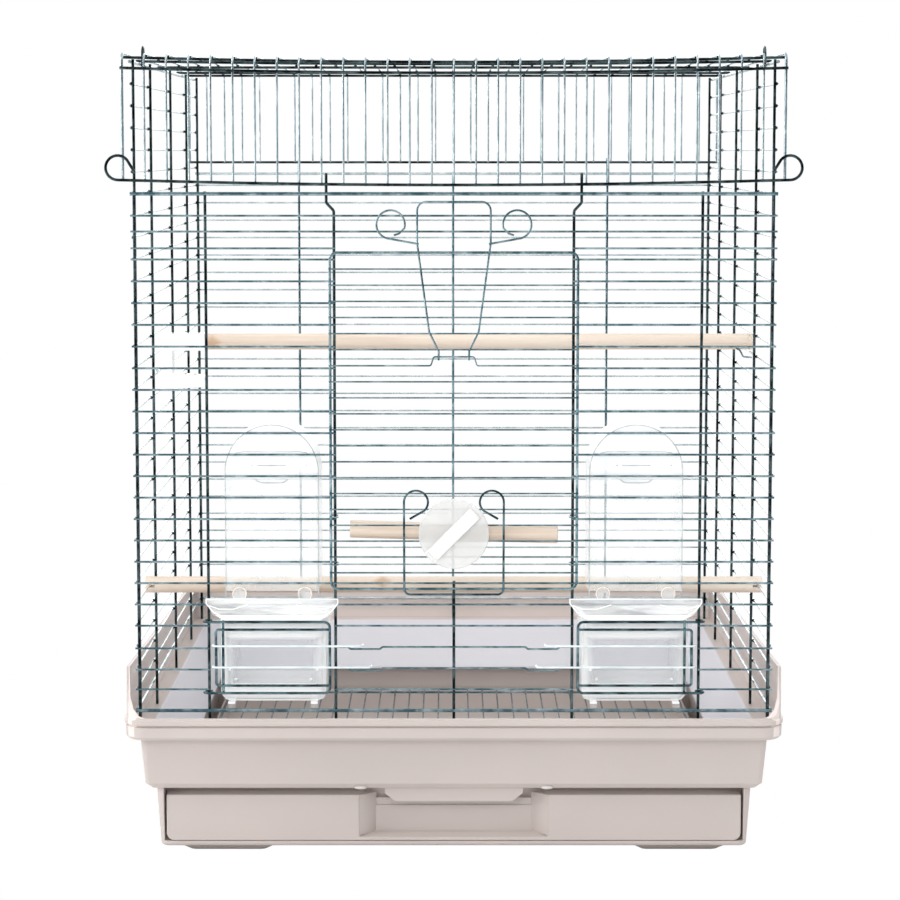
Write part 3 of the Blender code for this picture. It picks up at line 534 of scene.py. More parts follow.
def makeBackWires():
    y = halfSpan
    top = panel["backTop"]
    posts = (-halfSpan, -panel["prongX"], 0, panel["prongX"], halfSpan)
    runs = []
    rows = []
    beads = []
    for index in range(1, panel["topRow"] + 1):
        rows.append((level(-frontEnd, frontEnd, y + rowOut, rowZ(index)), cage["row"]))
        beads += [(x, y + cage["post"], rowZ(index)) for x in posts]
    for x in (-halfSpan, halfSpan):
        runs.append((upright(x, y, top + cage["rail"]), cage["post"]))
    runs.append((upright(0, y - cage["behind"], top + cage["rail"]), cage["post"]))
    ring = 2 * cage["post"] + cage["gap"]
    for side in (-1, 1):
        x = side * panel["prongX"]
        prong = arc((x, lidRailOut, hingeZ), ring, 180, 30, 12, (1, 2))
        runs.append((upright(x, y - cage["behind"], top + panel["prongRise"]) + prong, cage["post"]))
    for z in (cage["bottomRail"], top):
        rows.append((level(-frontEnd, frontEnd, y + railOut, z), cage["rail"]))
    wirePiece("back_wires", "wire_body", runs, platedWire("back posts"), "back_panel")
    wirePiece("back_rows", "wire_body", rows, platedWire("back rows", "pale"), "back_panel", stands=False)
    weldBeads("back_welds", "wire_body", beads, "back_panel")


# Roof lid: bars bent down into a front and a back skirt, with a finger curl at each end of the front rail
lid = {
    "half": 0.2280,
    "bars": 29,
    "frontDrop": 0.0866,
    "corner": 0.0050,
    "curl": 0.0084,
    "curlOut": 0.0033,
    "curlTail": (0.0085, 0.0052),
    "crossPlaces": (-0.2120, -0.1350, 0.0, 0.1350, 0.2120),
    "end": 0.0012,
    "railDrop": 0.0100,
    "sag": 0.0034,
    "sagFrom": 0.02,
    "sagLength": 0.20,
    "sagStep": 0.02,
}


# The lid's front edge hangs a little lower in its middle, as a long light rail does
def sagged(path):
    points = [Vector(path[0])]
    for first, last in zip(path, path[1:]):
        first, last = Vector(first), Vector(last)
        count = max(1, round((last - first).length / lid["sagStep"]))
        points += [first.lerp(last, step / count) for step in range(1, count + 1)]
    for point in points:
        forward = min(1.0, max(0.0, (-point.y - lid["sagFrom"]) / lid["sagLength"]))
        point.z -= lid["sag"] * forward * max(0.0, 1 - (point.x / lid["half"]) ** 2)
    return points


def makeLidWires():
    half = lid["half"]
    low = lidBarZ - lid["frontDrop"]
    pitch = 2 * half / (lid["bars"] + 1)
    places = [(index - lid["bars"] // 2) * pitch for index in range(lid["bars"])]
    bars = []
    for x, radius in [(x, cage["lidBar"]) for x in places] + [(x, cage["post"]) for x in (-half, half)]:
        corners = [(x, -lidBarOut, low), (x, -lidBarOut, lidBarZ), (x, lidBarOut, lidBarZ),
                   (x, lidBarOut, hingeZ)]
        bars.append((sagged(bend(corners, lid["corner"])), radius))
    ends = half + lid["end"]
    inward, rise = lid["curlTail"]
    curl = arc((half + lid["curlOut"], -lidRailOut, low + lid["curl"]), lid["curl"], -90, 140, 20, (0, 2))
    curl.append(Vector((half - inward, -lidRailOut, low + rise)))
    rails = [bothWays(curl), level(-ends, ends, lidRailOut, hingeZ)]
    rails.append(level(-ends, ends, -lidRailOut, lidBarZ - lid["railDrop"]))
    runs = [(sagged(path), cage["post"]) for path in rails]
    cross = [(sagged(level(-ends, ends, y, crossZ)), cage["post"]) for y in lid["crossPlaces"]]
    wirePiece("lid_wires", "lid", runs, platedWire("lid rails", "black"), "roof_lid")
    wirePiece("lid_cross_rails", "lid", cross, platedWire("lid cross rails", "black"), "roof_lid",
              stands=False)
    wirePiece("lid_bars", "lid", bars, platedWire("lid bars", "grey"), "roof_lid", stands=False)
    skirt = lidBarOut + cage["lidBar"]
    beads = []
    for x in places:
        beads += [(x, -skirt, low), (x, -skirt, lidBarZ - lid["railDrop"]), (x, skirt, hingeZ)]
        beads += [(x, y, crossZ + cage["post"]) for y in lid["crossPlaces"]]
    weldBeads("lid_welds", "lid", [sagged([bead])[0] for bead in beads], "roof_lid")


# Carry handle: an eye round the lid's middle rail at each end, folded flat on the bars
handle = {"half": 0.0684, "wire": 0.0013, "reach": 0.0620, "corner": 0.0100, "start": 0.0048}


def makeHandleWire():
    half, reach = handle["half"], handle["reach"]
    ring = cage["post"] + cage["gap"] + handle["wire"]
    lift = lidBarZ + cage["lidBar"] + cage["gap"] + handle["wire"]
    eye = arc((half, 0, crossZ), ring, 300, 60, 16, (1, 2))
    corners = [(half, handle["start"], lift), (half, reach, lift), (0, reach, lift)]
    path = bothWays((eye + bend(corners, handle["corner"], 8)[:-1])[::-1])
    wirePiece("handle_wire", "handle", [(path, handle["wire"])], platedWire("handle wire", "black"),
              "carry_handle")


# Front door: its frame, rows and slide hooks
door = {
    "half": 0.0856,
    "bottom": 0.1930,
    "top": 0.4276,
    "corner": 0.005,
    "frameWire": 0.0012,
    "rowWire": 0.0007,
    "rows": 20,
    "pitch": 0.01114,
    "firstDrop": 0.0113,
    "stub": 0.0010,
    "notchRow": 6,
    "notchHalf": 0.0140,
    "notchSlope": 0.002,
    "notchRise": 0.0062,
    "discRow": 16,
    "slideRows": (18, 15),
    "slideTip": 0.0030,
    "bend": 0.0015,
    "bead": 0.0009,
}
doorFrameY = -(lidRailOut + cage["post"] + cage["gap"] + door["frameWire"])
doorRowY = doorFrameY - (door["frameWire"] + door["rowWire"] - cage["weld"])


def doorRow(index):
    return door["top"] - door["firstDrop"] - index * door["pitch"]


discZ = doorRow(door["discRow"]) - door["pitch"] / 2
notchZ = doorRow(door["notchRow"]) + door["notchRise"]


def makeDoorWires():
    top, bottom, wide = door["top"], door["bottom"], door["half"]
    corners = [(0, doorFrameY, top), (wide, doorFrameY, top), (wide, doorFrameY, bottom),
               (0, doorFrameY, bottom)]
    runs = [(bothWays(bend(corners, door["corner"])[1:]), door["frameWire"])]
    end = wide + door["stub"]
    notch = door["notchHalf"]
    beads = []
    for index in range(door["rows"]):
        z = doorRow(index)
        path = level(-end, end, doorRowY, z)
        if index == door["notchRow"]:
            corners = [(0, doorRowY, notchZ), (notch, doorRowY, notchZ),
                       (notch + door["notchSlope"], doorRowY, z), (end, doorRowY, z)]
            path = bothWays(bend(corners, door["bend"], 3)[1:])
        runs.append((path, door["rowWire"]))
        beads += [(side * wide, doorFrameY - door["frameWire"], z) for side in (-1, 1)]
    back = -halfSpan + cage["post"] + cage["gap"] + door["rowWire"]
    inside = cage["doorPost"] - cage["post"] - cage["gap"] - door["rowWire"]
    tip = cage["doorPost"] + door["slideTip"]
    for index in door["slideRows"]:
        z = doorRow(index) - door["pitch"] / 2
        corners = [(end, doorRowY, z), (inside, doorRowY, z), (inside, back, z), (tip, back, z)]
        path = bend(corners, door["bend"])
        runs += [(mirrored(path, side), door["rowWire"]) for side in (-1, 1)]
    wirePiece("door_wires", "door", runs, platedWire("door wires"), "front_door")
    weldBeads("door_welds", "door", beads, "front_door", door["bead"])


# The spring hook turns on the raised row. Its knee is outward and up, its stem and curl inward and down.
hook = {
    "wire": 0.0009,
    "inset": 0.0035,
    "ankle": 0.0040,
    "knee": (0.0066, 0.0175),
    "spread": 0.0253,
    "shoulderDrop": 0.0283,
    "rise": 0.0349,
    "corner": 0.006,
    "loop": 0.0098,
    "loopOut": 0.0182,
    "loopDrop": 0.0155,
    "stem": (0.0012, 0.0134),
    "curl": ((0.0058, 0.0062), (0.0022, 0.0074)),
}
hookY = doorRowY - door["rowWire"] - cage["gap"] - hook["wire"]
hookTop = door["top"] + hook["rise"]


def makeDoorHook():
    x, spread, wire = door["notchHalf"] - hook["inset"], hook["spread"], hook["wire"]
    out, up = hook["knee"]
    foot = arc((x, doorRowY, notchZ), doorRowY - hookY, 20, -180, 14, (1, 2))
    leg = [(x, hookY, notchZ + hook["ankle"]), (x + out, hookY, notchZ + up),
           (spread, hookY, hookTop - hook["shoulderDrop"]), (spread, hookY, hookTop), (0, hookY, hookTop)]
    half = foot + bend(leg, hook["corner"], 6)[:-1]
    loopX = spread + hook["loopOut"]
    loopZ = hookTop - hook["loopDrop"]
    inward, down = hook["stem"]
    loop = [Vector((spread - inward, hookY, loopZ - down))]
    loop += arc((loopX, hookY, loopZ), hook["loop"], -75, 195, 24, (0, 2))
    loop += [Vector((loopX - inward, hookY, loopZ - down)) for inward, down in hook["curl"]]
    runs = [(bothWays(half[::-1]), wire)] + [(mirrored(loop, side), wire) for side in (-1, 1)]
    wirePiece("hook_wire", "hook", runs, platedWire("hook wire"), "door_hook")


# The wire latch is drawn a little thinner than its solid
latch = {
    "wire": 0.0011,
    "drawn": 0.0010,
    "half": 0.0345,
    "rise": 0.0668,
    "corner": 0.004,
    "curl": 0.0083,
    "tail": (0.0040, 0.0120),
    "lean": 8,
    "drop": 0.0007,
    "keeperWire": 0.0008,
    "keeperRoot": 0.0003,
}
latchY = doorRowY - door["rowWire"] - cage["gap"] - latch["wire"]
latchZ = door["bottom"] - door["frameWire"] - cage["gap"] - latch["wire"] - latch["drop"]
latchPivot = Vector((0, latchY, latchZ))


def makeLatch():
    half, rise, curl = latch["half"], latch["rise"], latch["curl"]
    inward, down = latch["tail"]
    path = [Vector((half - inward, 0, rise - down))]
    path += arc((half - curl, 0, rise), curl, 240, 0, 20, (0, 2))[1:]
    path += bend([(half, 0, rise), (half, 0, 0), (0, 0, 0)], latch["corner"], 6)[1:-1]
    lean = Matrix.Rotation(math.radians(latch["lean"]), 3, "X")
    placed = [latchPivot + lean @ point for point in bothWays(path[::-1])]
    wirePiece("latch_wire", "latch", [(placed, latch["drawn"])], platedWire("latch wire", "dark"),
              "door_latch")


# The keeper comes off the middle post and carries the latch's bottom bar
def keeperPath():
    ring = latch["wire"] + cage["gap"] + latch["keeperWire"]
    turn = arc(latchPivot, ring, -90, -250, 14, (1, 2))
    return [Vector((0, latch["keeperRoot"] - halfSpan, latchZ - ring))] + turn


# Feeder gates, and the bails that reach across from each gate's rod at two rows
gate = {
    "wire": 0.0012,
    "top": 0.1687,
    "bottom": 0.1181,
    "legX": 0.0870,
    "innerX": 0.1620,
    "rodX": 0.1668,
    "inset": 0.0054,
    "set": 0.0002,
    "corner": 0.004,
    "armCorner": 0.0020,
    "overrun": 0.0008,
}
gateY = -(halfSpan + cage["post"] + cage["gap"] + gate["set"] + gate["wire"])
gateHingeY = -halfSpan + cage["behind"]
bail = {"wire": 0.0010, "rise": 0.0012, "rows": ((3, 0.0640), (2, 0.0580)), "foot": 0.0005, "corner": 0.002}


def makeGate(word, side):
    name = word + "_gate_wire"
    ring = gateHingeY - gateY
    top, bottom, wire, rod = gate["top"], gate["bottom"], gate["wire"], gate["rodX"]
    post = cage["feederPost"]
    upper, lower = [arc((post, gateHingeY, z), ring, 120, -90, 14, (0, 1)) for z in (top, bottom)]
    corners = [upper[-1], (gate["legX"], gateY, top), (gate["legX"], gateY, bottom), lower[-1]]
    paths = [upper + bend(corners, gate["corner"], 6)[1:-1] + lower[::-1]]
    end, high, low = gate["legX"] + gate["set"], top - gate["inset"], bottom + gate["inset"]
    arms = [(end, gateY, high), (rod, gateY, high), (rod, gateY, low), (end, gateY, low)]
    paths.append(bend(arms, gate["armCorner"], 4))
    legY = gateY + 2 * wire - cage["weld"]
    inner, over = gate["innerX"], gate["overrun"]
    paths.append([(inner, legY, bottom - over), (inner, legY, top + over)])
    runs = [(mirrored(path, side), wire) for path in paths]
    wirePiece(name, word + "_gate", runs, platedWire(name, "dark"), word + "_feeder_gate")


def makeBail(word, side):
    name = word + "_bail_wire"
    rod, foot = gate["rodX"], bail["foot"] - halfSpan
    ring = gate["wire"] + cage["gap"] + bail["wire"]
    barY = gateY - ring
    halves = []
    for index, reach in bail["rows"]:
        z = rowZ(index) + bail["rise"]
        bar = bend([(reach, foot, z), (reach, barY, z), (rod, barY, z)], bail["corner"], 5)[:-1]
        halves.append(bar + arc((rod, gateY, z), ring, -90, 120, 14, (0, 1)))
    path = mirrored(halves[0] + halves[1][::-1], side)
    wirePiece(name, word + "_bail", [(path, bail["wire"])], platedWire(name, "white"), word + "_feeder_bail")


# Floor grid: bars from front to back on a frame of two long and two cross wires
grid = {
    "half": 0.1955,
    "pitch": 0.0125,
    "wire": 0.0008,
    "frameWire": 0.0012,
    "frameZ": 0.0305,
    "front": -0.1905,
    "back": 0.1840,
    "inset": 0.0040,
    "sideInset": 0.0030,
}


def makeGridWires():
    frameZ, frameWire = grid["frameZ"], grid["frameWire"]
    count = int(grid["half"] / grid["pitch"]) - 1
    z = frameZ + frameWire + grid["wire"] - cage["weld"]
    edge = grid["half"] - grid["sideInset"]
    low, high = grid["front"] + grid["inset"], grid["back"] - grid["inset"]
    runs = []
    for index in range(-count, count + 1):
        x = index * grid["pitch"]
        runs.append(([(x, grid["front"], z), (x, grid["back"], z)], grid["wire"]))
    runs += [([(x, low, frameZ), (x, high, frameZ)], frameWire) for x in (-edge, edge)]
    runs += [(level(-grid["half"], grid["half"], y, frameZ), frameWire) for y in (low, high)]
    wirePiece("grid_wires", "drawer", runs, platedWire("grid wires"), "floor_grid")


makeFrontWires()
makeBackWires()
for word, side in (("left", -1), ("right", 1)):
    makeSideWires(word, side)
    makeGate(word, side)
    makeBail(word, side)
makeLidWires()
makeHandleWire()
makeDoorWires()
makeDoorHook()
makeLatch()
makeGridWires()
print("wires bent and welded")


# A moulded piece: the frame's own solid welded up, with its sharp edges rounded and its shading evened out
shellSettings = {"weld": 0.00001, "flat": 0.5, "sharp": 25, "smooth": 50}


def moulded(name, body, material, width, sharpFrom=shellSettings["sharp"], turn=None):
    work = bmesh.new()
    work.from_mesh(node[name].data)
    if turn:
        angle, middle = turn
        about = Matrix.Rotation(math.radians(angle), 3, "Y")
        bmesh.ops.rotate(work, verts=work.verts, cent=middle, matrix=about)
    bmesh.ops.remove_doubles(work, verts=work.verts, dist=shellSettings["weld"])
    flat = math.radians(shellSettings["flat"])
    bmesh.ops.dissolve_limit(work, angle_limit=flat, verts=work.verts, edges=work.edges)
    least = math.radians(sharpFrom)
    sharp = [edge for edge in work.edges if edge.is_manifold and edge.calc_face_angle() > least]
    bmesh.ops.bevel(work, geom=sharp, offset=width, segments=2, profile=0.5, affect="EDGES", material=-1,
                    clamp_overlap=True)
    item = meshObject(name + "_shell", work)
    item.data.set_sharp_from_angle(angle=math.radians(shellSettings["smooth"]))
    item.modifiers.new("even normals", "WEIGHTED_NORMAL").keep_sharp = True
    return settle(item, body, material, name)


def solidPiece(name, body, work, material, slot):
    bmesh.ops.recalc_face_normals(work, faces=work.faces)
    item = meshObject(name, work)
    item.data.set_sharp_from_angle(angle=math.radians(shellSettings["smooth"]))
    return settle(item, body, material, slot, stands=False)


# A flat outline pushed out into a solid
def pushed(work, outline, move):
    face = work.faces.new([work.verts.new(corner) for corner in outline])
    grown = bmesh.ops.extrude_face_region(work, geom=[face])["geom"]
    moved = [part for part in grown if isinstance(part, bmesh.types.BMVert)]
    bmesh.ops.translate(work, verts=moved, vec=move)


def plate(wide, low, top, y):
    return [(-wide, y, low), (wide, y, low), (wide, y, top), (-wide, y, top)]


# The funnel is the tub's sloped inner floor, painted lavender-grey and lighter, and the rim above it is
# painted
# lighter: painted light and reflection inside the tub. The sill gives its low and top edge, set-back and
# thickness, and the fascia its half width, front, thickness, low and top edge.
base = {
    "rounding": {"tub": 0.0004, "housing": 0.0008, "drawer": 0.0009, "foot": 0.0008},
    # The funnel colour and rim colour are painted light: lighter than the body, inside the tub
    "funnel": {"half": 0.1996, "low": 0.0498, "top": 0.0884, "slope": 0.435, "wall": 0.2288,
               "fade": 0.0005, "topFade": 0.0004, "rimFade": 0.0012,
               "colour": (0.73, 0.715, 0.755, 1.0), "paintedLightRim": (0.76, 0.665, 0.63, 1.0)},
    # The feet's dark colour is painted shadow under the base
    "footShadowColour": (0.36, 0.31, 0.29),
    # The stops' lighter colour is a painted highlight on the two small bumps
    "stopHighlightColour": (0.66, 0.61, 0.59),
    "front": -0.2095,
    "edge": 0.0004,
    "recessHalf": 0.0640,
    "recessDepth": 0.0095,
    "recessMouth": 0.0672,
    "recessWaist": 0.0552,
    "recessLow": 0.0118,
    "recessTop": 0.0412,
    "sill": (0.0318, 0.0368, 0.0008, 0.0022),
    "clip": (0.0660, -0.2158, 0.0486),
    "clipSize": (0.0046, 0.0022, 0.0015),
    "fascia": (0.2058, -0.1950, 0.0020, 0.0350, 0.0476),
}


def makeBase():
    width = base["rounding"]
    moulded("base_tub", "base", mouldedPlastic("tub plastic", funnel=base["funnel"]), width["tub"])
    moulded("drawer_housing", "base", mouldedPlastic("housing plastic"), width["housing"])
    moulded("drawer", "drawer", mouldedPlastic("drawer plastic"), width["drawer"])
    for place in ("front_left", "front_right", "back_left", "back_right"):
        # Painted shadow: the feet are made dark
        plastic = mouldedPlastic("foot plastic " + place, base["footShadowColour"])
        moulded("foot_" + place, "base", plastic, width["foot"])
    # The two stops, painted lighter than the body: painted highlight
    work = bmesh.new()
    x, y, z = base["clip"]
    for side in (-1, 1):
        made = bmesh.ops.create_uvsphere(work, u_segments=16, v_segments=10, radius=1.0)["verts"]
        bmesh.ops.scale(work, verts=made, vec=base["clipSize"])
        bmesh.ops.translate(work, verts=made, vec=(side * x, y + cage["forward"], z))
    solidPiece("drawer_stops", "base", work, mouldedPlastic("stop plastic", base["stopHighlightColour"]), "base_tub")
    wide, front, thick, low, top = base["fascia"]
    work = bmesh.new()
    pushed(work, plate(wide, low, top, front + cage["forward"]), (0, thick, 0))
    bmesh.ops.bevel(work, geom=work.edges[:], offset=base["edge"], segments=2, profile=0.5, affect="EDGES",
                    material=-1)
    solidPiece("drawer_fascia", "base", work, mouldedPlastic("fascia plastic"), "drawer_housing")


# The recess has splayed ends and a raised sill behind the tab
def makeDrawerRecess():
    edge, half = base["edge"], base["recessHalf"]
    near = base["front"] + cage["forward"]
    far = near + base["recessDepth"]
    work = bmesh.new()
    for side in (-1, 1):
        plan = [(side * base["recessMouth"], near + edge), (side * (half + edge), far + edge),
                (side * base["recessWaist"], far + edge)]
        outline = [(x, y, base["recessLow"]) for x, y in plan]
        pushed(work, outline, (0, 0, base["recessTop"] - base["recessLow"]))
    low, top, behind, thick = base["sill"]
    pushed(work, plate(half, low, top, far + behind), (0, thick, 0))
    bmesh.ops.bevel(work, geom=work.edges[:], offset=edge, segments=2, profile=0.5, affect="EDGES",
                    material=-1, clamp_overlap=True)
    solidPiece("drawer_recess", "drawer", work, mouldedPlastic("recess plastic"), "drawer")


makeBase()
makeDrawerRecess()
print("base and drawer moulded")


# Clear pieces: cups, hoods, the lock disc and its bolt, and the perch holder. The hood's ledge, smile and
# marks are relief lines, each with a height and its places across.
clear = {
    "rounding": {"hood": 0.0005, "cup": 0.0007, "disc": 0.0005, "bolt": 0.0004, "holder": 0.0006},
    "hoodHalf": 0.0328,
    "hoodTop": 0.3078,
    # The hood turns opaque white between these heights: painted glare
    "hoodFade": (0.2640, 0.2860),
    "hoodSet": 0.0003,
    "cupSet": 0.0055,
    "cupSides": (0.0270, 0.0350),
    "cupUpper": (0.0200, 0.0170),
    "cupFoot": (0.0095, 0.0125),
    "lugFade": 0.0006,
    "lipFade": 0.0008,
    "lipOut": 0.0023,
    "lipStreak": (0.62, 0.63, 0.65, 1.0),
    # The cup's middle grey is painted shade seen through the clear styrene
    "cupShadeGrey": (0.70, 0.70, 0.74, 1.0),
    "ribFade": (0.0066, 0.0074),
    "cupHalf": 0.0385,
    "cupTop": 0.1737,
    "cupBottom": 0.1107,
    "lipTop": 0.1857,
    "bossX": 0.0229,
    "bossRadius": 0.0052,
    "bossSet": 0.0019,
    "bossRows": (5, 6),
    "pips": ((-0.0310, 0.1330), (0.0310, 0.1330), (-0.0265, 0.1262), (0.0265, 0.1262)),
    "pip": 0.0011,
    "inset": 0.0004,
    "thin": 0.0004,
    "line": 0.0005,
    "thick": 0.0006,
    "lineEnd": 0.0006,
    "ledge": (0.2887, 0.0002, ((-0.0250, -0.0010), (-0.0200, 0), (0.0200, 0), (0.0250, -0.0010))),
    "smile": (0.2668, ((0.0060, 0), (0.0088, 0.0004), (0.0112, 0.0024))),
    "marks": (0.2790, ((-0.0098, 0.0098), (-0.0140, -0.0128), (0.0238, 0.0248))),
    "boatLow": 0.0016,
    "boat": ((0.0330, 0), (0.0410, 0.0040)),
    "boatEnd": (0.0460, 0.0030),
    # The lip glints and glare bands are thin white strips of painted highlight
    "lipGlints": ((0.0440, 0.0050), (0.0370, 0.0075), (0.0270, 0.0075), (0.0170, 0.0045)),
    "cupInset": 0.0020,
    "cupRimDrop": 0.0030,
    "cupCorner": 0.0070,
    "glareBands": (0.0300, 0.0140, 0.0120),
}
hoodFront = -(halfSpan + rowOut - cage["row"]) + clear["hoodSet"]
cupFront = clear["cupSet"] - halfSpan
lipFront = -(halfSpan + rowOut + cage["row"] + clear["lipOut"])


def hoodLook(name):
    look = Look(name, IOR=1.49, Roughness=0.32, Specular_IOR_Level=0.25)
    across, along, height = look.axes()
    fine = look.noise(60, 2, 0.5)
    rim = look.add("ShaderNodeLayerWeight", {}, {"Blend": 0.30}, output="Facing")
    low, high = clear["hoodFade"]
    look.feed("Base Color", look.colours(fine, [(0.3, (0.90, 0.92, 0.92)), (0.7, (1.0, 1.0, 1.0))]))
    # Painted glare: the clear hood is made nearly opaque white towards its top
    look.feed("Alpha", 0.26 + 0.68 * height.between(low, high) + 0.06 * rim)
    look.bump(fine, 0.0002)
    return look.material


def cupLook(name, middle):
    look = Look(name, IOR=1.49, Roughness=0.10)
    across, along, height = look.axes()
    fine = look.noise(70, 2, 0.5)
    rim = look.add("ShaderNodeLayerWeight", {}, {"Blend": 0.30}, output="Facing")
    bottom, brim = clear["cupBottom"], clear["cupTop"]
    side = (across - middle).size().between(*clear["cupSides"])
    top = height.between(*[brim - drop for drop in clear["cupUpper"]])
    foot = 1 - height.between(*[bottom + rise for rise in clear["cupFoot"]])
    lug = 1 - height.between(bottom - clear["lugFade"], bottom)
    edge = side.larger(top).larger(foot)
    lip = height.between(brim, brim + clear["lipFade"])
    streak = look.noise(120, 3, 0.6, stretch=(0.25, 1.0, 1.6)).between(0.44, 0.60)
    # Painted shade and highlight: grey middle, with white, more opaque sides, top and foot
    skin = look.mixColours(edge, clear["cupShadeGrey"], (1.0, 1.0, 1.0, 1.0))
    look.feed("Base Color", look.mixColours(lip * streak, skin, clear["lipStreak"]))
    look.feed("Alpha", 0.22 + 0.66 * edge + 0.25 * rim - 0.76 * lug - 0.44 * lip)
    look.bump(fine, 0.0002)
    return look.material


def discLook(name):
    look = Look(name, IOR=1.49, Roughness=0.22)
    across, along, height = look.axes()
    slant = (across - (height - discZ)).size()
    rib = 1 - slant.between(*clear["ribFade"])
    fine = look.noise(50, 3, 0.5)
    look.feed("Base Color", look.colours(fine, [(0.3, (0.76, 0.75, 0.735)), (0.7, (0.85, 0.84, 0.83))]))
    look.feed("Alpha", 0.56 + 0.40 * rib)
    look.bump(fine, 0.0002)
    return look.material


# The outline is a grey line of painted shade along the clear hood's curved rim; the ledge, smile and marks
# are moulded relief lines
def makeHoodLines(word, x, slot):
    y = hoodFront
    half, top = clear["hoodHalf"] - clear["inset"], clear["hoodTop"] - clear["inset"]
    foot = clear["lipTop"] + clear["lineEnd"]
    outline = [Vector((x + half, y, foot))] + arc((x, y, top - half), half, 0, 180, 32, (0, 2))
    outline.append(Vector((x - half, y, foot)))
    height, back, points = clear["ledge"]
    ledge = [Vector((x + dx, y + back, height + dz)) for dx, dz in points]
    height, points = clear["smile"]
    smile = [Vector((x - dx, y, height + dz)) for dx, dz in points[::-1]]
    smile += [Vector((x + dx, y, height + dz)) for dx, dz in points]
    height, ends = clear["marks"]
    runs = [(outline, clear["line"]), (ledge, clear["thin"]), (smile, clear["thick"])]
    runs += [(level(x + first, x + last, y, height), clear["line"]) for first, last in ends]
    wirePiece(word + "_hood_rim", "wire_body", runs, rimLook(word + " hood rim"), slot, stands=False)
    rings = []
    ringZ = sum(rowZ(index) for index in clear["bossRows"]) / 2
    for offset in (-clear["bossX"], clear["bossX"]):
        place = (x + offset, y - clear["bossSet"], ringZ)
        rings.append((arc(place, clear["bossRadius"] - clear["thin"], 0, 360, 24, (0, 2)), clear["thin"]))
    wirePiece(word + "_boss_rings", "wire_body", rings, creamLook(word + " boss rings"), slot, stands=False)


# The cup lines are thin white strips of painted highlight: along the boat lip's edge, the glints at its ends,
# two bands across the cup and its front borders. The pips are small white bumps.
def makeCupLines(word, x, slot):
    low, top = clear["cupTop"] - clear["boatLow"], clear["lipTop"] - clear["lineEnd"]
    wide, drop = clear["boatEnd"]
    right = [(dx, low + dz) for dx, dz in clear["boat"]] + [(wide, top - drop), (wide, top)]
    left = [(-dx, z) for dx, z in right[::-1]]
    lip = [Vector((x + dx, lipFront, z)) for dx, z in left[-1:] + right + left]
    lipGlints = [[Vector((x + side * dx, lipFront, clear["lipTop"] - dz)) for dx, dz in clear["lipGlints"]]
             for side in (-1, 1)]
    wide, foot = clear["cupHalf"] - clear["cupInset"], clear["cupBottom"] + clear["lineEnd"]
    rim = clear["cupTop"] - clear["cupRimDrop"]
    corners = [(x, cupFront, foot), (x + wide, cupFront, foot), (x + wide, cupFront, rim), (x, cupFront, rim)]
    border = bend(corners, clear["cupCorner"], 8)
    borders = [border, [Vector((2 * x - point.x, point.y, point.z)) for point in border]]
    reach, below, above = clear["glareBands"]
    heights = (clear["cupTop"] - below, clear["cupBottom"] + above)
    glareBands = [level(x - reach, x + reach, cupFront, z) for z in heights]
    runs = [(lip, clear["thick"])] + [(path, clear["line"]) for path in lipGlints + glareBands + borders]
    wirePiece(word + "_cup_lines", "wire_body", runs, whiteLook(word + " cup lines"), slot, stands=False)
    work = bmesh.new()
    for dx, z in clear["pips"]:
        place = Matrix.Translation((x + dx, cupFront + cage["forward"], z))
        bmesh.ops.create_icosphere(work, subdivisions=2, radius=clear["pip"], matrix=place)
    solidPiece(word + "_cup_pips", "wire_body", work, whiteLook(word + " cup pips"), slot)


# Grey for the hood's outline, which is painted shade along the clear rim, and for its ledge, smile and marks
def rimLook(name):
    look = Look(name, IOR=1.49, Roughness=0.15)
    fine = look.noise(120, 2, 0.5)
    look.feed("Base Color", look.colours(fine, [(0.3, (0.52, 0.55, 0.56)), (0.7, (0.72, 0.75, 0.76))]))
    look.feed("Alpha", 0.55 + 0.3 * fine)
    return look.material


def creamLook(name):
    look = Look(name, IOR=1.49)
    fine = look.noise(200, 2, 0.5)
    look.feed("Base Color", look.colours(fine, [(0.3, (0.78, 0.68, 0.57)), (0.7, (0.95, 0.90, 0.82))]))
    look.feed("Roughness", 0.10 + 0.15 * fine)
    return look.material


# White for the cup lines, which are painted highlights, and for the cup pips
def whiteLook(name):
    look = Look(name, IOR=1.49)
    fine = look.noise(150, 2, 0.5)
    look.feed("Base Color", look.colours(fine, [(0.3, (0.90, 0.94, 0.94)), (0.6, (1.0, 1.0, 1.0))]))
    look.feed("Roughness", 0.08 + 0.12 * fine)
    return look.material


for word, side in (("left", -1), ("right", 1)):
    feederX = side * cage["feeder"]
    hood, cup = word + "_feeder_hood", word + "_feeder_cup"
    moulded(hood, "wire_body", hoodLook(hood + " styrene"), clear["rounding"]["hood"])
    moulded(cup, "wire_body", cupLook(cup + " styrene", feederX), clear["rounding"]["cup"])
    makeHoodLines(word, feederX, hood)
    makeCupLines(word, feederX, cup)
moulded("lock_disc", "lock", discLook("disc styrene"), clear["rounding"]["disc"])
moulded("perch_bolt", "door", clearPlastic("bolt styrene", 0.60, 0.30), clear["rounding"]["bolt"])
holderLook = clearPlastic("holder styrene", 0.94, 0.06, (0.97, 0.99, 0.99))
moulded("perch_holder", "wire_body", holderLook, clear["rounding"]["holder"])
print("clear pieces moulded")


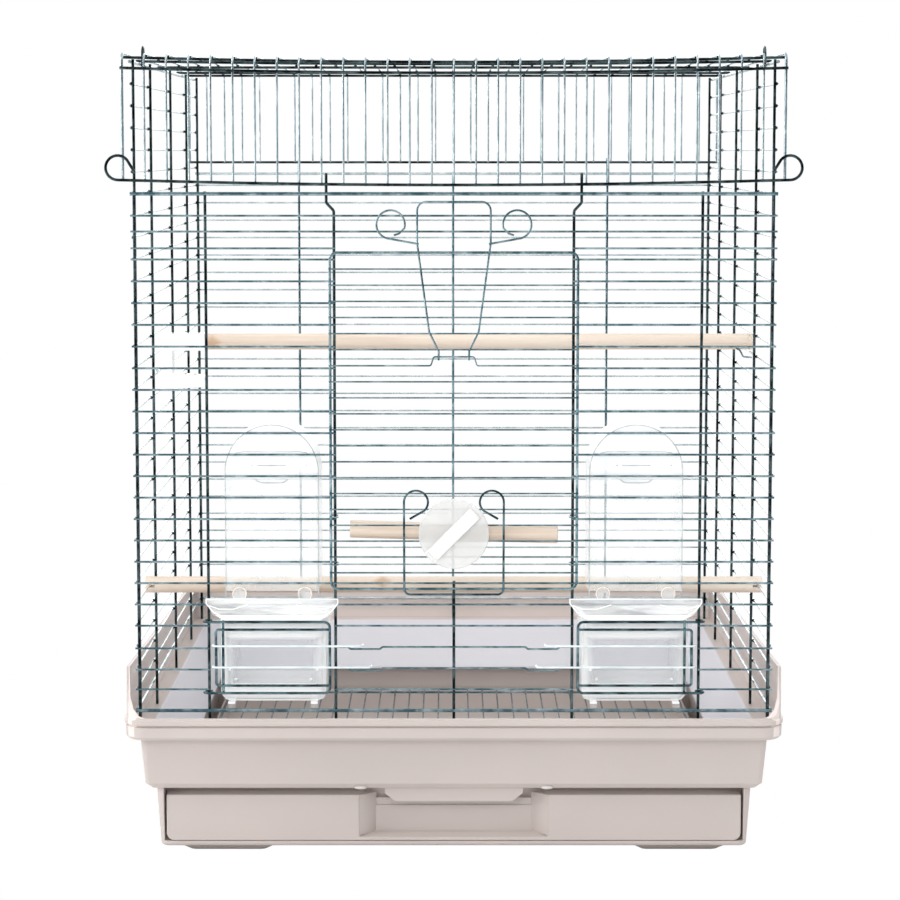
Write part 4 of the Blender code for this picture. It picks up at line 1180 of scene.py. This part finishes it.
# Perches: turned softwood with eased ends, and a small wire hook under the upper one's right end
perch = {
    "tip": 0.2267,
    "upperY": -0.0710,
    "upperZ": 0.3543,
    "radius": 0.0060,
    "eased": 0.0007,
    "sharp": 40,
    "smallTilt": 1.6,
    "upperKnot": (-0.1815, 0.3540),
    "lowerKnot": (-0.0520, 0.1840),
    "hook": ((0.0140, 0.0012), (0.0110, -0.0004), (0.0085, -0.0052), (0.0020, -0.0058)),
    "hookSet": 0.0035,
    "hookBend": 0.0012,
    "hookWire": 0.0008,
}


def makePerches():
    eased, sharp = perch["eased"], perch["sharp"]
    for name, knot in (("lower_perch", perch["lowerKnot"]), ("upper_perch", perch["upperKnot"])):
        moulded(name, "wire_body", paleWood(name + " wood", knot), eased, sharp)
    tilt = (perch["smallTilt"], (0, 0, discZ))
    moulded("small_perch", "door", paleWood("small_perch wood"), eased, sharp, tilt)
    y, low = perch["upperY"] - perch["hookSet"], perch["upperZ"] - perch["radius"]
    corners = [(perch["tip"] - inward, y, low + rise) for inward, rise in perch["hook"]]
    path = bend(corners, perch["hookBend"], 4)
    wirePiece("perch_hook", "wire_body", [(path, perch["hookWire"])], platedWire("perch hook"), "upper_perch",
              stands=False)


makePerches()
print("perches turned")


# Floor and surround
def makeFloor():
    work = bmesh.new()
    bmesh.ops.create_grid(work, x_segments=1, y_segments=1, size=studio["floorHalf"])
    floor = meshObject("floor", work)
    bpy.context.scene.collection.objects.link(floor)
    look = Look("pale floor", Roughness=0.9)
    look.feed("Base Color", studio["floorBounce"])
    seen = look.add("ShaderNodeEmission", {}, {"Color": studio["white"], "Strength": 1.0})
    look.whenSeen(seen, look.shader.outputs[0], look.tree.nodes["Material Output"])
    floor.data.materials.append(look.material)


# The wires reflect a bright wall behind, a dark room in front and a dim ceiling; the camera sees plain white
def makeSurround():
    world = bpy.data.worlds.new("studio")
    bpy.context.scene.world = world
    look = Look(world=world)
    way = look.add("ShaderNodeTexCoord", output="Generated")
    split = look.add("ShaderNodeSeparateXYZ", {}, {0: way}).socket.node
    behind = Value(look, split.outputs["Y"]).between(*studio["behind"])
    above = Value(look, split.outputs["Z"]).between(*studio["above"])
    walls = look.mixColours(behind, studio["front"], studio["back"])
    around = look.mixColours(above, walls, studio["ceiling"])
    lit = look.add("ShaderNodeBackground", {}, {"Color": around})
    seen = look.add("ShaderNodeBackground", {}, {"Color": studio["white"]})
    look.whenSeen(seen, lit.socket, look.tree.nodes["World Output"])


makeFloor()
makeSurround()
print("floor and surround made")
